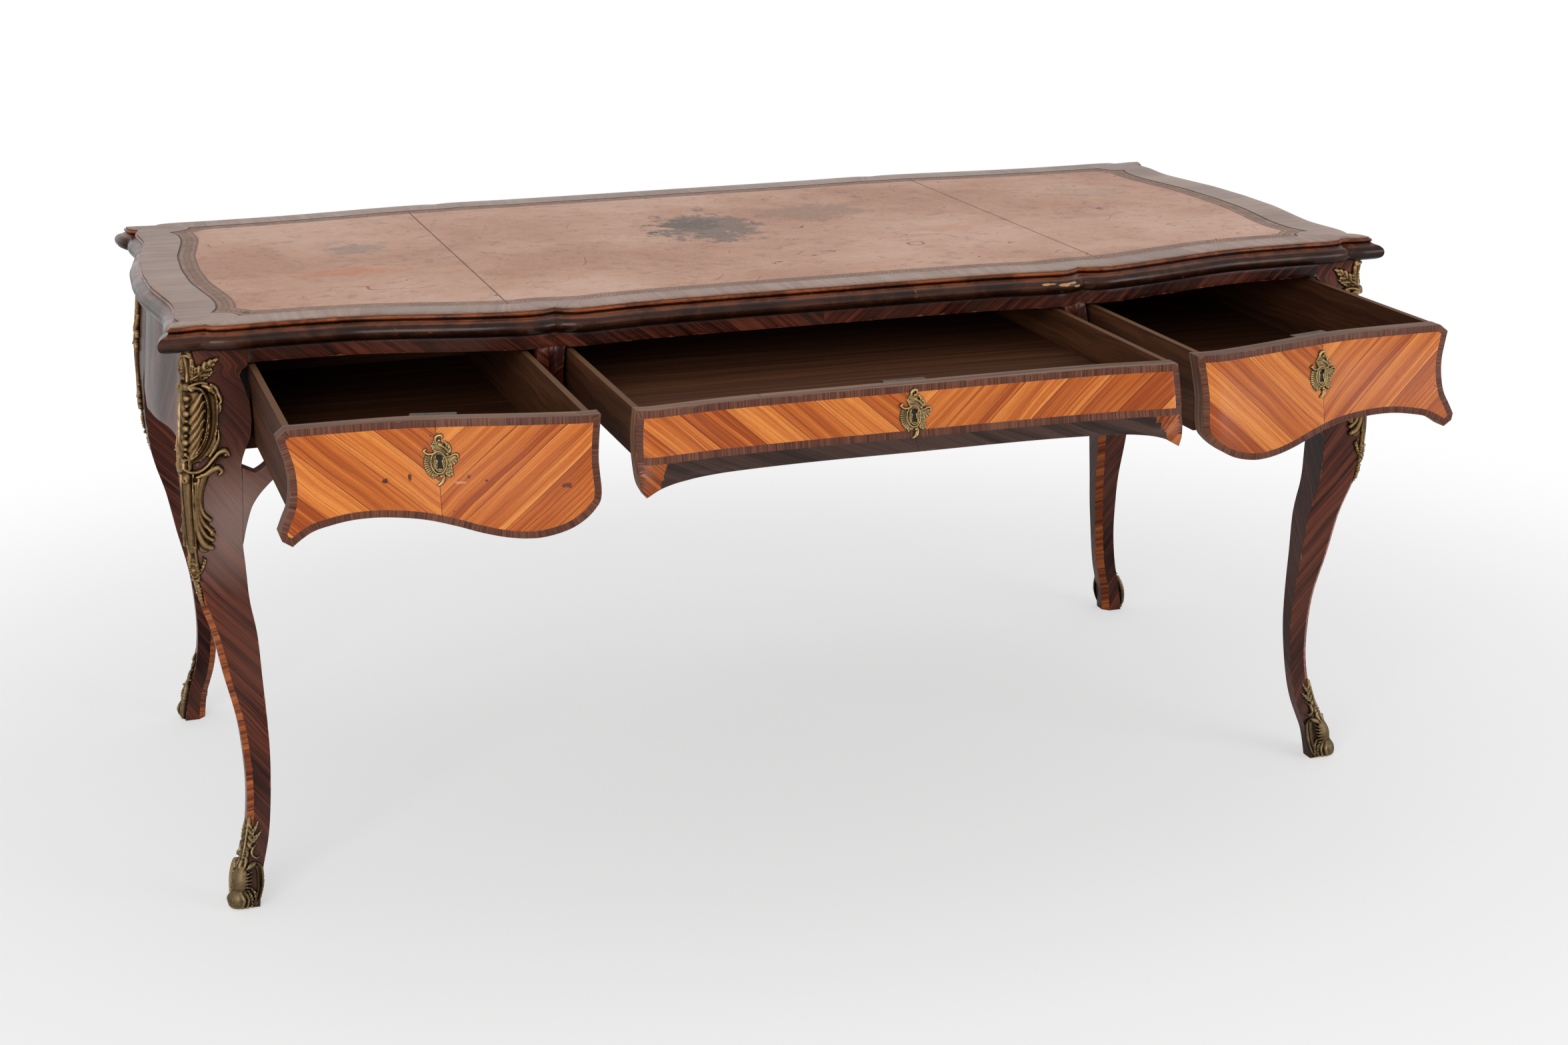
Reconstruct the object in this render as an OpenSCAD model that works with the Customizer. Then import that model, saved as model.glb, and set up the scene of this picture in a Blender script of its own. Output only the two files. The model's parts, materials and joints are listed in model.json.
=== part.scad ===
// Bureau plat: a serpentine writing table with three drawers, shown pulled out.
// X runs along the front, -Y is the front, Z is up from the floor.
// The origin is on the floor under the middle of the whole, as it stands with its drawers out.

/* [Top] */
// Height of the leather from the floor
height = 780; // [764:2:790]
// Width of the top at its side swells
top_w = 1664; // [1640:2:1700]
// Depth of the top at its narrow outer stretches
top_d = 772; // [764:2:800]
// How far the middle of the front swells out
front_swell = 47; // [30:1:55]
// How far the middle of the back swells out
back_swell = 19; // [8:1:40]
// How far the middle of each side stands out from the waist beside it
side_swell = 20; // [10:1:26]
// Distance of the kinks in the front from the middle
kink_x = 358; // [350:1:364]
// Height of the edge moulding
moulding_h = 31; // [28:1:36]
// How far the rounded lip of the moulding stands out
lip = 13.5; // [8:0.5:18]
// Width of the corner ears of the top
ear_w = 48; // [40:1:56]
// Thickness of the veneer and of the leather
veneer_t = 1.5; // [1:0.1:2.5]
// Width of the veneered border round the leather
border_w = 48; // [40:1:60]
// How far the leather lies below the border
leather_drop = 0.4; // [0.2:0.1:0.8]
// Distance of the leather seams from the middle
seam_x = 408; // [380:2:440]

/* [Carcass] */
// Distance of the carcass faces behind the edge of the top
setback = 5.5; // [4:0.5:8]
// How far the front and back faces swell out at the knees
front_bombe = 19; // [12:1:22]
// How far the side faces swell out at the knees
side_bombe = 14; // [8:1:18]
// Height over which the faces swell, below the frieze
bombe_h = 180; // [160:5:200]
// Height of the frieze rail over the drawers, below the moulding
rail_h = 20; // [16:1:26]
// Depth of the rail at its thinnest
rail_d = 40; // [36:1:50]
// Thickness of the side panels
panel_t = 22; // [16:1:26]
// Thickness of the back panel
back_t = 18; // [14:1:22]
// Thickness of the boards between the drawer bays
partition_t = 16; // [12:1:18]
// Width of the posts between the drawers
stile_w = 34; // [30:1:38]
// Depth of the posts between the drawers
stile_d = 40; // [30:1:50]
// Depth of the tongues beside the legs
tongue_d = 26; // [20:1:30]
// Width of the drawer runners and kickers
runner_w = 34; // [30:1:38]
// Height of the drawer runners
runner_h = 18; // [14:1:20]

/* [Legs] */
// Width of a leg at the knee
knee_w = 65; // [60:1:68]
// Width of a leg at the ankle
ankle_w = 30; // [26:1:36]
// Distance of the knee below the top
knee_drop = 280; // [276:1:290]
// How far the ankle sweeps in from the knee along the front
sweep_x = 50; // [36:1:56]
// How far the ankle sweeps in from the knee along the side
sweep_y = 44; // [32:1:50]
// Width of the slip let into the outer arris
arris_w = 8; // [5:0.5:10]
// Width of the slip let into the inner arris
slip_w = 10; // [6:0.5:12]

/* [Drawers] */
// Distance of the left drawer from the middle
left_in = 385; // [384:0.5:388]
// Distance of the far end of the left drawer from the side of the top
left_end = 88; // [84:1:94]
// Distance of the right drawer from the middle
right_in = 372; // [371:0.5:376]
// Distance of the far end of the right drawer from the side of the top
right_end = 78; // [72:1:82]
// Depth of an outer drawer front at its ear
ear_depth = 131; // [130:0.5:132]
// Thickness of a drawer front
front_t = 24; // [20:1:28]
// Thickness of the drawer sides and backs
board_t = 8; // [6:0.5:10]
// Thickness of a drawer bottom
bottom_t = 6; // [4:0.5:8]
// Depth of the groove that holds a drawer bottom
groove = 3; // [2:0.5:4]
// Height of the sides of the outer drawers
deep_h = 99; // [90:1:102]
// Height of the sides of the centre drawer
shallow_h = 58; // [50:1:62]
// Gap round a drawer front
play = 3; // [2:0.25:3.5]
// How far the left drawer is pulled out
left_open = 345; // [300:5:360]
// How far the centre drawer is pulled out
centre_open = 345; // [300:5:360]
// How far the right drawer is pulled out
right_open = 326; // [300:2:360]
// How far the apron of the centre drawer flares out
apron_flare = 9; // [4:1:12]

/* [Fittings] */
// Width of a lock case
lock_w = 54; // [46:1:60]
// Height of a lock case
lock_h = 38; // [34:1:46]
// Depth of a lock case
lock_d = 13; // [12:0.5:16]
// Width of a lock bolt
bolt_w = 16; // [12:1:20]
// Thickness of a lock bolt
bolt_t = 5; // [4:0.5:6]
// How far a lock bolt rises
bolt_throw = 7; // [5:0.5:8]
// Height of an escutcheon
escutcheon_h = 58; // [57:1:60]
// Thickness of an escutcheon
escutcheon_t = 3; // [2:0.5:4]
// Length of a knee mount
chute_h = 322; // [300:2:330]
// Height of a foot mount
sabot_h = 117; // [100:1:130]

/* [Hidden] */
$fn = 48;

// Gap of a glued joint, and of pieces that slide on each other
glue = 0.1;
slide = 0.4;
// Gap between a bronze and the wood that it is pinned to
seat = 0.3;

// Heights that the pieces share
under_top = height - moulding_h;
opening_z = under_top - rail_h;
drawer_top = opening_z - play;
deep_z = drawer_top - 1 - deep_h;
shallow_z = drawer_top - 1 - shallow_h;
knee_z = height - knee_drop;

// Half sizes of the top
half_w = top_w / 2;
half_d = top_d / 2;
notch_y = half_d - 0.875 * ear_w;
shoulder_x = half_w - 1.083 * ear_w;
outer_x = shoulder_x - 0.2 * ear_w;
waist_x = half_w - side_swell;
left_out = half_w - left_end;
right_out = half_w - right_end;

// A curve through given points, with its slope carried smoothly over each one
function clamp(t, low, high) = max(low, min(high, t));
function ease(t) = let (u = clamp(t, 0, 1)) u * u * (3 - 2 * u);
function mix(a, b, t) = a + (b - a) * t;
function place_in(k, t) = clamp(len([for (p = k) if (p[0] <= t) 1]) - 1, 0, len(k) - 2);
function slope_at(k, i) =
    let (a = max(i - 1, 0), b = min(i + 1, len(k) - 1))
    (k[b][1] - k[a][1]) / (k[b][0] - k[a][0]);
function curve(k, t) =
    let (i = place_in(k, t), h = k[i + 1][0] - k[i][0], u = (t - k[i][0]) / h)
    k[i][1] * (1 + 2 * u) * (1 - u) * (1 - u) + h * slope_at(k, i) * u * (1 - u) * (1 - u)
    + k[i + 1][1] * u * u * (3 - 2 * u) + h * slope_at(k, i + 1) * u * u * (u - 1);

// Serpentine line of the front, as a share of the swell, from the middle out to the kink
inner_swell = [[0, 1.02], [0.42, 1.02], [0.7, 1.09], [0.84, 1.23], [0.92, 1.28], [0.975, 1.13],
    [1, 0.96]];
// The same from the kink out to the corner ear
outer_swell = [[0, 0.96], [0.035, 1.1], [0.09, 1.16], [0.225, 0.94], [0.35, 0.64], [0.47, 0.34],
    [0.6, 0.1], [0.72, 0.03], [0.84, 0.01], [1, 0.01]];
function swell(x) = let (a = abs(x))
    a < kink_x ? curve(inner_swell, a / kink_x)
    : curve(outer_swell, min(1, (a - kink_x) / (outer_x - kink_x)));
function front_line(x) = half_d + front_swell * swell(x);
function back_line(x) = half_d + back_swell * swell(x);

// Line of each side, as a share of its swell, from the middle to the notch
side_shape = [[0, 1], [0.29, 0.83], [0.42, 0.55], [0.54, 0.27], [0.64, 0.06], [0.73, 0], [0.82, 0.12],
    [0.89, 0.22], [0.94, 0.22], [1, 0.02]];
function side_line(y) = waist_x + side_swell * curve(side_shape, min(1, abs(y) / notch_y));

// How far a face has swollen out at a given height, as a share of its whole swell
function bombe(z) = ease((under_top - z) / bombe_h - 0.05);
function front_face(x, z) = front_line(x) - setback + front_bombe * bombe(z);
function back_face(x, z) = back_line(x) - setback + front_bombe * bombe(z);
function side_face(y, z) = side_line(min(abs(y), 0.9 * notch_y)) - setback + side_bombe * bombe(z);
function flare(x, z) = apron_flare * ease((shallow_z - z) / ear_depth / 0.122)
    * (1 - 0.7 * ease((abs(x) / kink_x - 0.81) / 0.14));
function centre_face(x, z) = front_face(x, z) + flare(x, z);

// Outline of the top, one quarter at a time, from the middle of the front to the middle of a side
kink_steps = [0, 0.25, 0.45, 0.6, 0.7, 0.78, 0.84, 0.88, 0.92, 0.95, 0.975];
outer_steps = [0, 0.035, 0.06, 0.09, 0.13, 0.18, 0.225, 0.29, 0.35, 0.41, 0.47, 0.54, 0.6, 0.7, 0.84, 1];
side_steps = [0.95, 0.88, 0.8, 0.72, 0.64, 0.56, 0.48, 0.4, 0.3, 0.2, 0.1, 0];
// The ear, from the end of the front to the notch in the side, as shares of its width
ear_form = [[-0.083, -0.02], [0.02, -0.104], [0.083, -0.208], [0.29, -0.188], [0.625, -0.125],
    [1, -0.125], [0.958, -0.438], [0.833, -0.73]];
function quarter(depth) = concat(
    [for (s = kink_steps) [s * kink_x, half_d + depth * curve(inner_swell, s)]],
    [for (s = outer_steps) [mix(kink_x, outer_x, s), half_d + depth * curve(outer_swell, s)]],
    [for (p = ear_form) [shoulder_x, half_d] + ear_w * p],
    [[side_line(notch_y), notch_y]],
    [for (s = side_steps) [side_line(s * notch_y), s * notch_y]]);
front_quarter = quarter(front_swell);
back_quarter = quarter(back_swell);
last = len(front_quarter) - 1;
top_outline = concat(
    [for (p = front_quarter) [p[0], -p[1]]],
    [for (i = [last - 1:-1:0]) back_quarter[i]],
    [for (i = [1:last]) [-back_quarter[i][0], back_quarter[i][1]]],
    [for (i = [last - 1:-1:1]) [-front_quarter[i][0], -front_quarter[i][1]]]);
turns = len(top_outline);
ear_i = last - len(side_steps) - 3;

// The outline moved outwards by d, with mitred corners
function unit(v) = v / norm(v);
function outward(i) =
    let (a = top_outline[(i + turns - 1) % turns], b = top_outline[i], c = top_outline[(i + 1) % turns],
        p = unit(b - a), q = unit(c - b), n = unit([p[1] + q[1], -p[0] - q[0]]))
    n / max(0.5, n * [q[1], -q[0]]);
function moved(i, d) = top_outline[i % turns] + d * outward(i % turns);
function moved_outline(d) = [for (i = [0:turns - 1]) moved(i, d)];

// A closed skin between two grids of points, each point a function of its column and row
module between(columns, rows, outer, inner) {
    w = rows + 1;
    n = (columns + 1) * w;
    points = concat(
        [for (i = [0:columns]) for (j = [0:rows]) outer(i, j)],
        [for (i = [0:columns]) for (j = [0:rows]) inner(i, j)]);
    quads = concat(
        [for (i = [0:columns - 1]) for (j = [0:rows - 1])
            [i * w + j, i * w + j + 1, (i + 1) * w + j + 1, (i + 1) * w + j]],
        [for (i = [0:columns - 1]) for (j = [0:rows - 1])
            [n + i * w + j, n + (i + 1) * w + j, n + (i + 1) * w + j + 1, n + i * w + j + 1]],
        [for (i = [0:columns - 1]) [i * w, (i + 1) * w, n + (i + 1) * w, n + i * w]],
        [for (i = [0:columns - 1])
            [(i + 1) * w + rows, i * w + rows, n + i * w + rows, n + (i + 1) * w + rows]],
        [for (j = [0:rows - 1]) [j + 1, j, n + j, n + j + 1]],
        [for (j = [0:rows - 1])
            [columns * w + j, columns * w + j + 1, n + columns * w + j + 1, n + columns * w + j]]);
    polyhedron(points, [for (q = quads) each [[q[0], q[1], q[2]], [q[0], q[2], q[3]]]], convexity = 8);
}

// A solid through a row of rings that all have the same number of points
module loft(rings) {
    w = len(rings[0]);
    n = len(rings);
    quads = [for (i = [0:n - 2]) for (j = [0:w - 1])
        [i * w + j, (i + 1) * w + j, (i + 1) * w + (j + 1) % w, i * w + (j + 1) % w]];
    polyhedron([for (r = rings) each r], concat(
        [for (q = quads) each [[q[0], q[1], q[2]], [q[0], q[2], q[3]]]],
        [[for (j = [0:w - 1]) j]],
        [[for (j = [w - 1:-1:0]) (n - 1) * w + j]]), convexity = 8);
}

// A shaped panel: place(u, v) gives its outline in the plane, face(x, z) how far out it stands
module panel(us, vs, place, face, back) {
    between(len(us) - 1, len(vs) - 1,
        function(i, j) let (p = place(us[i], vs[j])) [p[0], -face(p[0], p[1]), p[1]],
        function(i, j) let (p = place(us[i], vs[j])) [p[0], -back(p[0], p[1]), p[1]]);
}
function close_ends(n) = [for (i = [0:n]) (1 - cos(180 * i / n)) / 2];

// Outlines of the drawer fronts, as shares of the depth of an ear, from the top of the drawer down.
// End of an outer drawer beside the leg, as depth and distance out from its nominal end
leg_end = ear_depth * [[0, -0.084], [0.069, 0], [0.183, -0.031], [0.344, -0.069], [0.504, -0.076],
    [0.687, -0.046], [0.779, 0], [0.885, 0.046], [0.947, 0.023], [1, -0.061]];
// End beside the post, in the same way
post_end = ear_depth * [[0, 0], [0.229, 0.031], [0.42, 0.046], [0.664, 0.038], [0.763, 0.061],
    [0.8, 0.092]];
// Lower edge from beside the post to the tip of the ear, as depth along the width
lobe = [[0, 0.8], [0.03, 0.878], [0.075, 0.954], [0.125, 1.011], [0.23, 1.053], [0.35, 1.008],
    [0.425, 0.954], [0.503, 0.893], [0.593, 0.847], [0.69, 0.821], [0.764, 0.813], [0.855, 0.84],
    [0.94, 0.897], [1, 1]];
lobe_start = 0.092 * ear_depth;
lobe_end = 0.061 * ear_depth;
side_rows = [0, 0.055, 0.12, 0.23, 0.325, 0.51, 0.665, 0.82, 0.933, 1];
side_columns = [0, 0.02, 0.05, 0.09, 0.14, 0.2, 0.28, 0.37, 0.46, 0.55, 0.64, 0.72, 0.8, 0.87, 0.93,
    0.97, 1];
function lobe_at(x, x_in, x_out) =
    ear_depth * curve(lobe, clamp((x - x_in - lobe_start) / (x_out - lobe_end - x_in - lobe_start), 0, 1));
function side_place(x_in, x_out, u, v) =
    let (low = ear_depth * curve(lobe, u), a = x_in + curve(post_end, (1 - v) * ear_depth * lobe[0][1]),
        b = x_out + curve(leg_end, (1 - v) * ear_depth))
    [mix(a, b, u), drawer_top - (1 - v) * low];

// Ends of the centre drawer, and its lower edge as depth from the tip to the middle
centre_end = ear_depth * [[0, 0], [0.275, 0.031], [0.573, 0.023], [0.672, 0.008], [0.756, -0.031]];
apron = [[0, 0.756], [0.025, 0.679], [0.06, 0.63], [0.12, 0.603], [0.28, 0.588], [0.5, 0.588]];
centre_rows = [0, 0.1, 0.18, 0.26, 0.5, 0.75, 1];
stile_l_x = left_in - play - stile_w / 2 - 1.5;
stile_r_x = right_in - play - stile_w / 2 + 0.5;
centre_l = stile_l_x - stile_w / 2 - play;
centre_r = stile_r_x - stile_w / 2 - play;
function centre_place(u, v) =
    let (low = ear_depth * curve(apron, min(u, 1 - u)),
        e = curve(centre_end, (1 - v) * ear_depth * apron[0][1]))
    [mix(-centre_l - e, centre_r + e, u), drawer_top - (1 - v) * low];

module side_drawer_front(x_in, x_out) {
    color("chocolate")
    panel(side_columns, side_rows, function(u, v) side_place(x_in, x_out, u, v),
        function(x, z) front_face(x, z), function(x, z) front_face(x, z) - front_t);
}

module left_front() mirror([1, 0, 0]) side_drawer_front(left_in, left_out);
module right_front() side_drawer_front(right_in, right_out);
module centre_front() {
    color("chocolate")
    panel(close_ends(22), centre_rows, function(u, v) centre_place(u, v),
        function(x, z) centre_face(x, z), function(x, z) front_face(x, z) - front_t);
}

// How far the moulding reaches in over the board
rebate = 9;

// Top
module top_board() {
    color("saddlebrown")
    translate([0, 0, under_top])
        linear_extrude(moulding_h - veneer_t - glue) polygon(moved_outline(-rebate - glue));
}

// Section of the moulding as distance out from the edge and drop below the top
moulding_section = [[-rebate, veneer_t + glue], [0, veneer_t + glue + 0.4], [lip / 9, moulding_h * 0.145],
    [0, moulding_h * 0.24], [lip * 0.22, moulding_h * 0.306], [lip * 0.67, moulding_h * 0.4],
    [lip * 0.95, moulding_h * 0.55], [lip, moulding_h * 0.71], [lip * 0.85, moulding_h * 0.89],
    [lip * 0.45, moulding_h], [-rebate, moulding_h]];
module moulding(first, final) {
    color("maroon")
    loft([for (i = [first:final])
        [for (s = moulding_section) let (p = moved(i, s[0])) [p[0], p[1], height - s[1]]]]);
}

module veneer_border() {
    color("rosybrown")
    translate([0, 0, height - veneer_t])
        linear_extrude(veneer_t)
            difference() {
                polygon(moved_outline(-1.2));
                polygon(leather_outline(0));
            }
}

// The leather follows the edge of the top at the width of the border
leather_x = shoulder_x + ear_w / 8 - border_w;
leather_y = half_d - border_w;
leather_ear = 0.65 * ear_w;
function leather_quarter(depth, gap) = concat(
    [for (s = [0, 0.45, 0.7, 0.8, 0.88, 0.96])
        [s * kink_x, half_d + depth * curve(inner_swell, s) - border_w - gap]],
    [for (s = [0.03, 0.1, 0.16, 0.225, 0.29, 0.35, 0.41, 0.47, 0.54, 0.6, 0.7, 0.84])
        [mix(kink_x, outer_x, s), half_d + depth * curve(outer_swell, s) - border_w - gap]],
    [for (a = [0:15:90])
        [leather_x - gap + leather_ear * (1 - cos(a)), leather_y - gap - leather_ear * sin(a)]],
    [for (s = [0.82, 0.73, 0.64, 0.54, 0.42, 0.29, 0.15, 0])
        [side_line(s * notch_y) - 1.1 * border_w - gap, s * notch_y]]);
function leather_outline(gap) =
    let (f = leather_quarter(front_swell, gap), b = leather_quarter(back_swell, gap), n = len(f) - 1)
    concat([for (p = f) [p[0], -p[1]]], [for (i = [n - 1:-1:0]) b[i]],
        [for (i = [1:n]) [-b[i][0], b[i][1]]], [for (i = [n - 1:-1:1]) [-f[i][0], -f[i][1]]]);
module leather_skins() {
    color("rosybrown")
    translate([0, 0, height - veneer_t])
        for (k = [-1, 0, 1])
            linear_extrude(veneer_t - leather_drop)
                intersection() {
                    polygon(leather_outline(glue));
                    translate([k < 0 ? -half_w : k > 0 ? seam_x + glue : -seam_x, -half_w])
                        square([k == 0 ? 2 * seam_x : half_w - seam_x - glue, top_w]);
                }
}

// Legs, drawn for the front right corner. Shares of the sweep and of the width, up the height.
leg_sweep = [[0, 0.44], [0.08, 0.56], [0.146, 0.76], [0.2, 0.89], [0.3, 1], [0.4, 0.99], [0.5, 0.9],
    [0.62, 0.66], [0.754, 0.42], [0.85, 0.16], [0.92, 0.05], [1, 0]];
leg_taper = [[0, 0.03], [0.15, 0], [0.3, 0], [0.4, 0.09], [0.5, 0.2], [0.62, 0.46], [0.79, 0.77],
    [0.92, 0.98], [1, 1]];
post_x = side_line(0.9 * notch_y) - setback;
post_y = half_d + front_swell * 0.01 - setback;
inner_x = post_x + side_bombe - knee_w;
inner_y = post_y + front_bombe - knee_w;
function leg_x(z) = z < knee_z ? post_x + side_bombe - sweep_x * curve(leg_sweep, z / knee_z)
    : post_x + side_bombe * bombe(z);
function leg_y(z) = z < knee_z ? post_y + front_bombe - sweep_y * curve(leg_sweep, z / knee_z)
    : post_y + front_bombe * bombe(z);
function leg_w(z) = mix(ankle_w, knee_w, curve(leg_taper, min(1, z / knee_z)));
// Height of the point of the notch that the ear of a drawer fits
ear_low = 0.893 * ear_depth;
notch_z = drawer_top - ear_low;
function opening_edge(z, edge) =
    z > notch_z ? edge + play + curve(leg_end, clamp(drawer_top - z, 0, ear_low))
    : mix(inner_x, edge + play + curve(leg_end, ear_low), (z - knee_z) / (notch_z - knee_z));
function leg_in_x(z, edge) = z < knee_z ? leg_x(z) - leg_w(z) : opening_edge(z, edge);
function leg_in_y(z) = z < knee_z ? leg_y(z) - leg_w(z) : inner_y;
leg_levels = concat([for (i = [0:23]) knee_z * i / 24],
    [for (i = [0:3]) mix(knee_z, notch_z, i / 4)],
    [for (d = [0.893, 0.779, 0.687, 0.595, 0.504, 0.344, 0.183, 0.069, 0]) drawer_top - d * ear_depth],
    [under_top - glue]);
module leg(edge) {
    color("saddlebrown")
    loft([for (z = leg_levels)
        let (x = leg_x(z), y = leg_y(z), xi = leg_in_x(z, edge), yi = leg_in_y(z))
        [[x - arris_w, -y, z], [x, -y + arris_w, z], [x, -yi, z],
            [xi + slip_w, -yi, z], [xi, -yi - slip_w, z], [xi, -y, z]]]);
}

// Tongues beside the legs, under the ears of the drawers
tongue_len = 0.855 * ear_depth;
tongue_low = ear_depth * [[0, 0], [0.031, 0.13], [0.122, 0.382], [0.313, 0.595], [0.458, 0.679],
    [0.611, 0.74], [0.763, 0.786], [0.916, 0.809]];
tongue_z = knee_z + 2;
tongue_top = drawer_top - 0.962 * ear_depth;
module tongue(edge, x_in, face) {
    panel([0, 0.1, 0.2, 0.3, 0.4, 0.5, 0.6, 0.7, 0.8, 0.86, 0.93, 1], [0, 0.33, 0.67, 1],
        function(u, v)
            let (foot = opening_edge(tongue_z, edge) - 2 * glue,
                head = opening_edge(tongue_top, edge) - 2 * glue,
                s = (1 - u) * tongue_len,
                low = tongue_z + curve(tongue_low, s),
                high = u > 0.86 ? mix(tongue_top, drawer_top - ear_depth - play, (1 - u) / 0.14)
                    : drawer_top - play - lobe_at(head - s, x_in, edge))
            [mix(foot, head, v) - s, mix(low, max(high, low + 3), v)],
        face, function(x, z) face(x, z) - tongue_d);
}
// Puts what is drawn for the front right corner at any of the four corners
module at_corner(left, back) {
    mirror([left ? 1 : 0, 0, 0]) mirror([0, back ? 1 : 0, 0]) children();
}
module knee_blocks() {
    color("sienna")
    for (left = [false, true]) for (back = [false, true])
        at_corner(left, back)
            tongue(left ? left_out : right_out, left ? left_in : right_in,
                back ? function(x, z) back_face(x, z) : function(x, z) front_face(x, z));
}

// Carcass
rail_back = post_y - rail_d;
rail_steps = [0.035, 0.09, 0.225, 0.35, 0.47, 0.6, 0.72, 0.85];
rail_half = concat([for (k = kink_steps) k * kink_x], [kink_x],
    [for (k = rail_steps) mix(kink_x, outer_x, k)]);
function rail_end(edge) = edge + play + leg_end[0][1] - glue;
module front_rail() {
    xs = concat([-rail_end(left_out)], [for (i = [len(rail_half) - 1:-1:1]) -rail_half[i]],
        rail_half, [rail_end(right_out)]);
    color("brown")
    difference() {
        translate([0, 0, opening_z])
            linear_extrude(rail_h - glue)
                polygon(concat([for (x = xs) [x, -front_face(x, height)]],
                    [[rail_end(right_out), -rail_back], [-rail_end(left_out), -rail_back]]));
        for (d = drawers)
            translate([lock_x(d), -bolt_y(d), opening_z - 1])
                rotate([0, 0, front_turn(d)])
                    translate([-bolt_w / 2 - 1.5, -bolt_t / 2 - 1.5, 0])
                        cube([bolt_w + 3, bolt_t + 3, bolt_throw + 4]);
    }
}

// Posts between the drawers, with a rounded foot
stile_rows = [0, 0.04, 0.1, 0.18, 0.28, 0.4, 0.55, 0.7, 0.85, 1];
stile_len = 0.9 * ear_depth;
stile_round = 0.733 * ear_depth;
module stile(x_in, x_mid, head, face, back) {
    color("brown")
    panel([0, 0.25, 0.5, 0.75, 1], stile_rows,
        function(u, v)
            let (d = (1 - v) * stile_len,
                a = x_mid + play + curve(centre_end, min(d, 0.58 * ear_depth)),
                b = x_in - play + curve(post_end, min(d, 0.664 * ear_depth)),
                k = sqrt(max(0.02, 1 - pow(max(0, d - stile_round) / (stile_len - stile_round), 2))))
            [mix(mix((a + b) / 2, a, k), mix((a + b) / 2, b, k), u), v == 1 ? head : opening_z - d],
        face, back);
}
module stile_front(x_in, x_mid) {
    stile(x_in, x_mid, opening_z - glue, function(x, z) front_face(x, z),
        function(x, z) front_face(kink_x, height) - stile_d);
}
module stile_right() stile_front(right_in, centre_r);
module stile_left() mirror([1, 0, 0]) stile_front(left_in, centre_l);

// Side panels, with a lower edge that rises between the legs
side_low = [[0, 0.511], [0.36, 0.567], [0.6, 0.589], [0.76, 0.544], [0.86, 0.444], [0.93, 0.3],
    [0.97, 0.167], [1, 0.033]];
module side_panel() {
    y_end = inner_y - glue;
    color("brown")
    rotate([0, 0, 90])
        panel([for (t = close_ends(26)) t], [0, 0.14, 0.3, 0.48, 0.66, 0.82, 1],
            function(u, v)
                let (y = mix(-y_end, y_end, u))
                [y, mix(knee_z + bombe_h * curve(side_low, min(1, abs(y) / y_end)), under_top - glue, v)],
            function(y, z) side_face(y, z), function(y, z) side_face(y, z) - panel_t);
}
module side_panel_right() side_panel();
module side_panel_left() mirror([1, 0, 0]) side_panel();

// Closed back: a panel with three fixed fronts on it, like the drawers in front
back_y = inner_y - glue;
module back_panel() {
    half = post_x - panel_t - glue;
    color("sienna")
    translate([-half, back_y - back_t, deep_z]) cube([2 * half, back_t, under_top - glue - deep_z]);
}
module back_stiles() {
    for (left = [false, true])
        at_corner(left, true)
            stile(left ? left_in : right_in, left ? centre_l : centre_r, under_top - glue,
                function(x, z) back_face(x, z), function(x, z) back_y + glue);
}
// Rows over 1 carry the shape of a drawer front up to the top
function head_row(p, v) = [p[0], v > 1 ? under_top - glue : p[1]];
module sham_side(x_in, x_out) {
    color("chocolate")
    panel(side_columns, concat(side_rows, [1.2]),
        function(u, v) head_row(side_place(x_in, x_out, u, min(v, 1)), v),
        function(x, z) back_face(x, z), function(x, z) back_y + glue);
}
module sham_front_right() mirror([0, 1, 0]) sham_side(right_in, right_out);
module sham_front_left() mirror([0, 1, 0]) mirror([1, 0, 0]) sham_side(left_in, left_out);
module sham_front_centre() {
    color("chocolate")
    mirror([0, 1, 0])
        panel(close_ends(22), concat(centre_rows, [1.2]),
            function(u, v) head_row(centre_place(u, min(v, 1)), v),
            function(x, z) back_face(x, z) + flare(x, z), function(x, z) back_y + glue);
}

// Boards between the bays, which the stiles and the back panel hold
stile_back = front_face(kink_x, height) - stile_d - glue;
module partition(x) {
    color("peru")
    difference() {
        translate([x - partition_t / 2, -stile_back, deep_z - runner_h])
            cube([partition_t, stile_back + back_y - back_t - glue,
                under_top - glue - deep_z + runner_h]);
        translate([x - partition_t, -stile_back - 1, opening_z - glue])
            cube([2 * partition_t, stile_back + 1 - rail_back + glue, rail_h]);
    }
}
module partition_right() partition(stile_r_x);
module partition_left() mirror([1, 0, 0]) partition(stile_l_x);

// Runners under the drawer sides and kickers over them
outer_bar = 22;
bar_places = [
    [outer_bar - left_out - runner_w - 10, outer_bar - left_out, deep_z, 0],
    [-stile_l_x - partition_t / 2 - glue - runner_w, -stile_l_x - partition_t / 2 - glue, deep_z, 1],
    [-stile_l_x + partition_t / 2 + glue, -stile_l_x + partition_t / 2 + glue + runner_w, shallow_z, 1],
    [stile_r_x - partition_t / 2 - glue - runner_w, stile_r_x - partition_t / 2 - glue, shallow_z, 1],
    [stile_r_x + partition_t / 2 + glue, stile_r_x + partition_t / 2 + glue + runner_w, deep_z, 1],
    [right_out - outer_bar, right_out - outer_bar + runner_w + 10, deep_z, 0]];
// Each is given by its left and right sides, the drawer height it serves, and if it starts behind a post
module bar(b, inner_start, low, head) {
    y = b[3] == 1 ? inner_start : min(inner_start, inner_y - glue);
    translate([b[0], -y, low]) cube([b[1] - b[0], y + back_y - back_t - glue, head - low]);
}
module runners() {
    color("peru")
    for (b = bar_places) bar(b, stile_back, b[2] - slide - runner_h, b[2] - slide);
}
module kickers() {
    color("peru")
    for (b = bar_places) bar(b, rail_back - glue, drawer_top + slide, under_top - glue);
}

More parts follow.
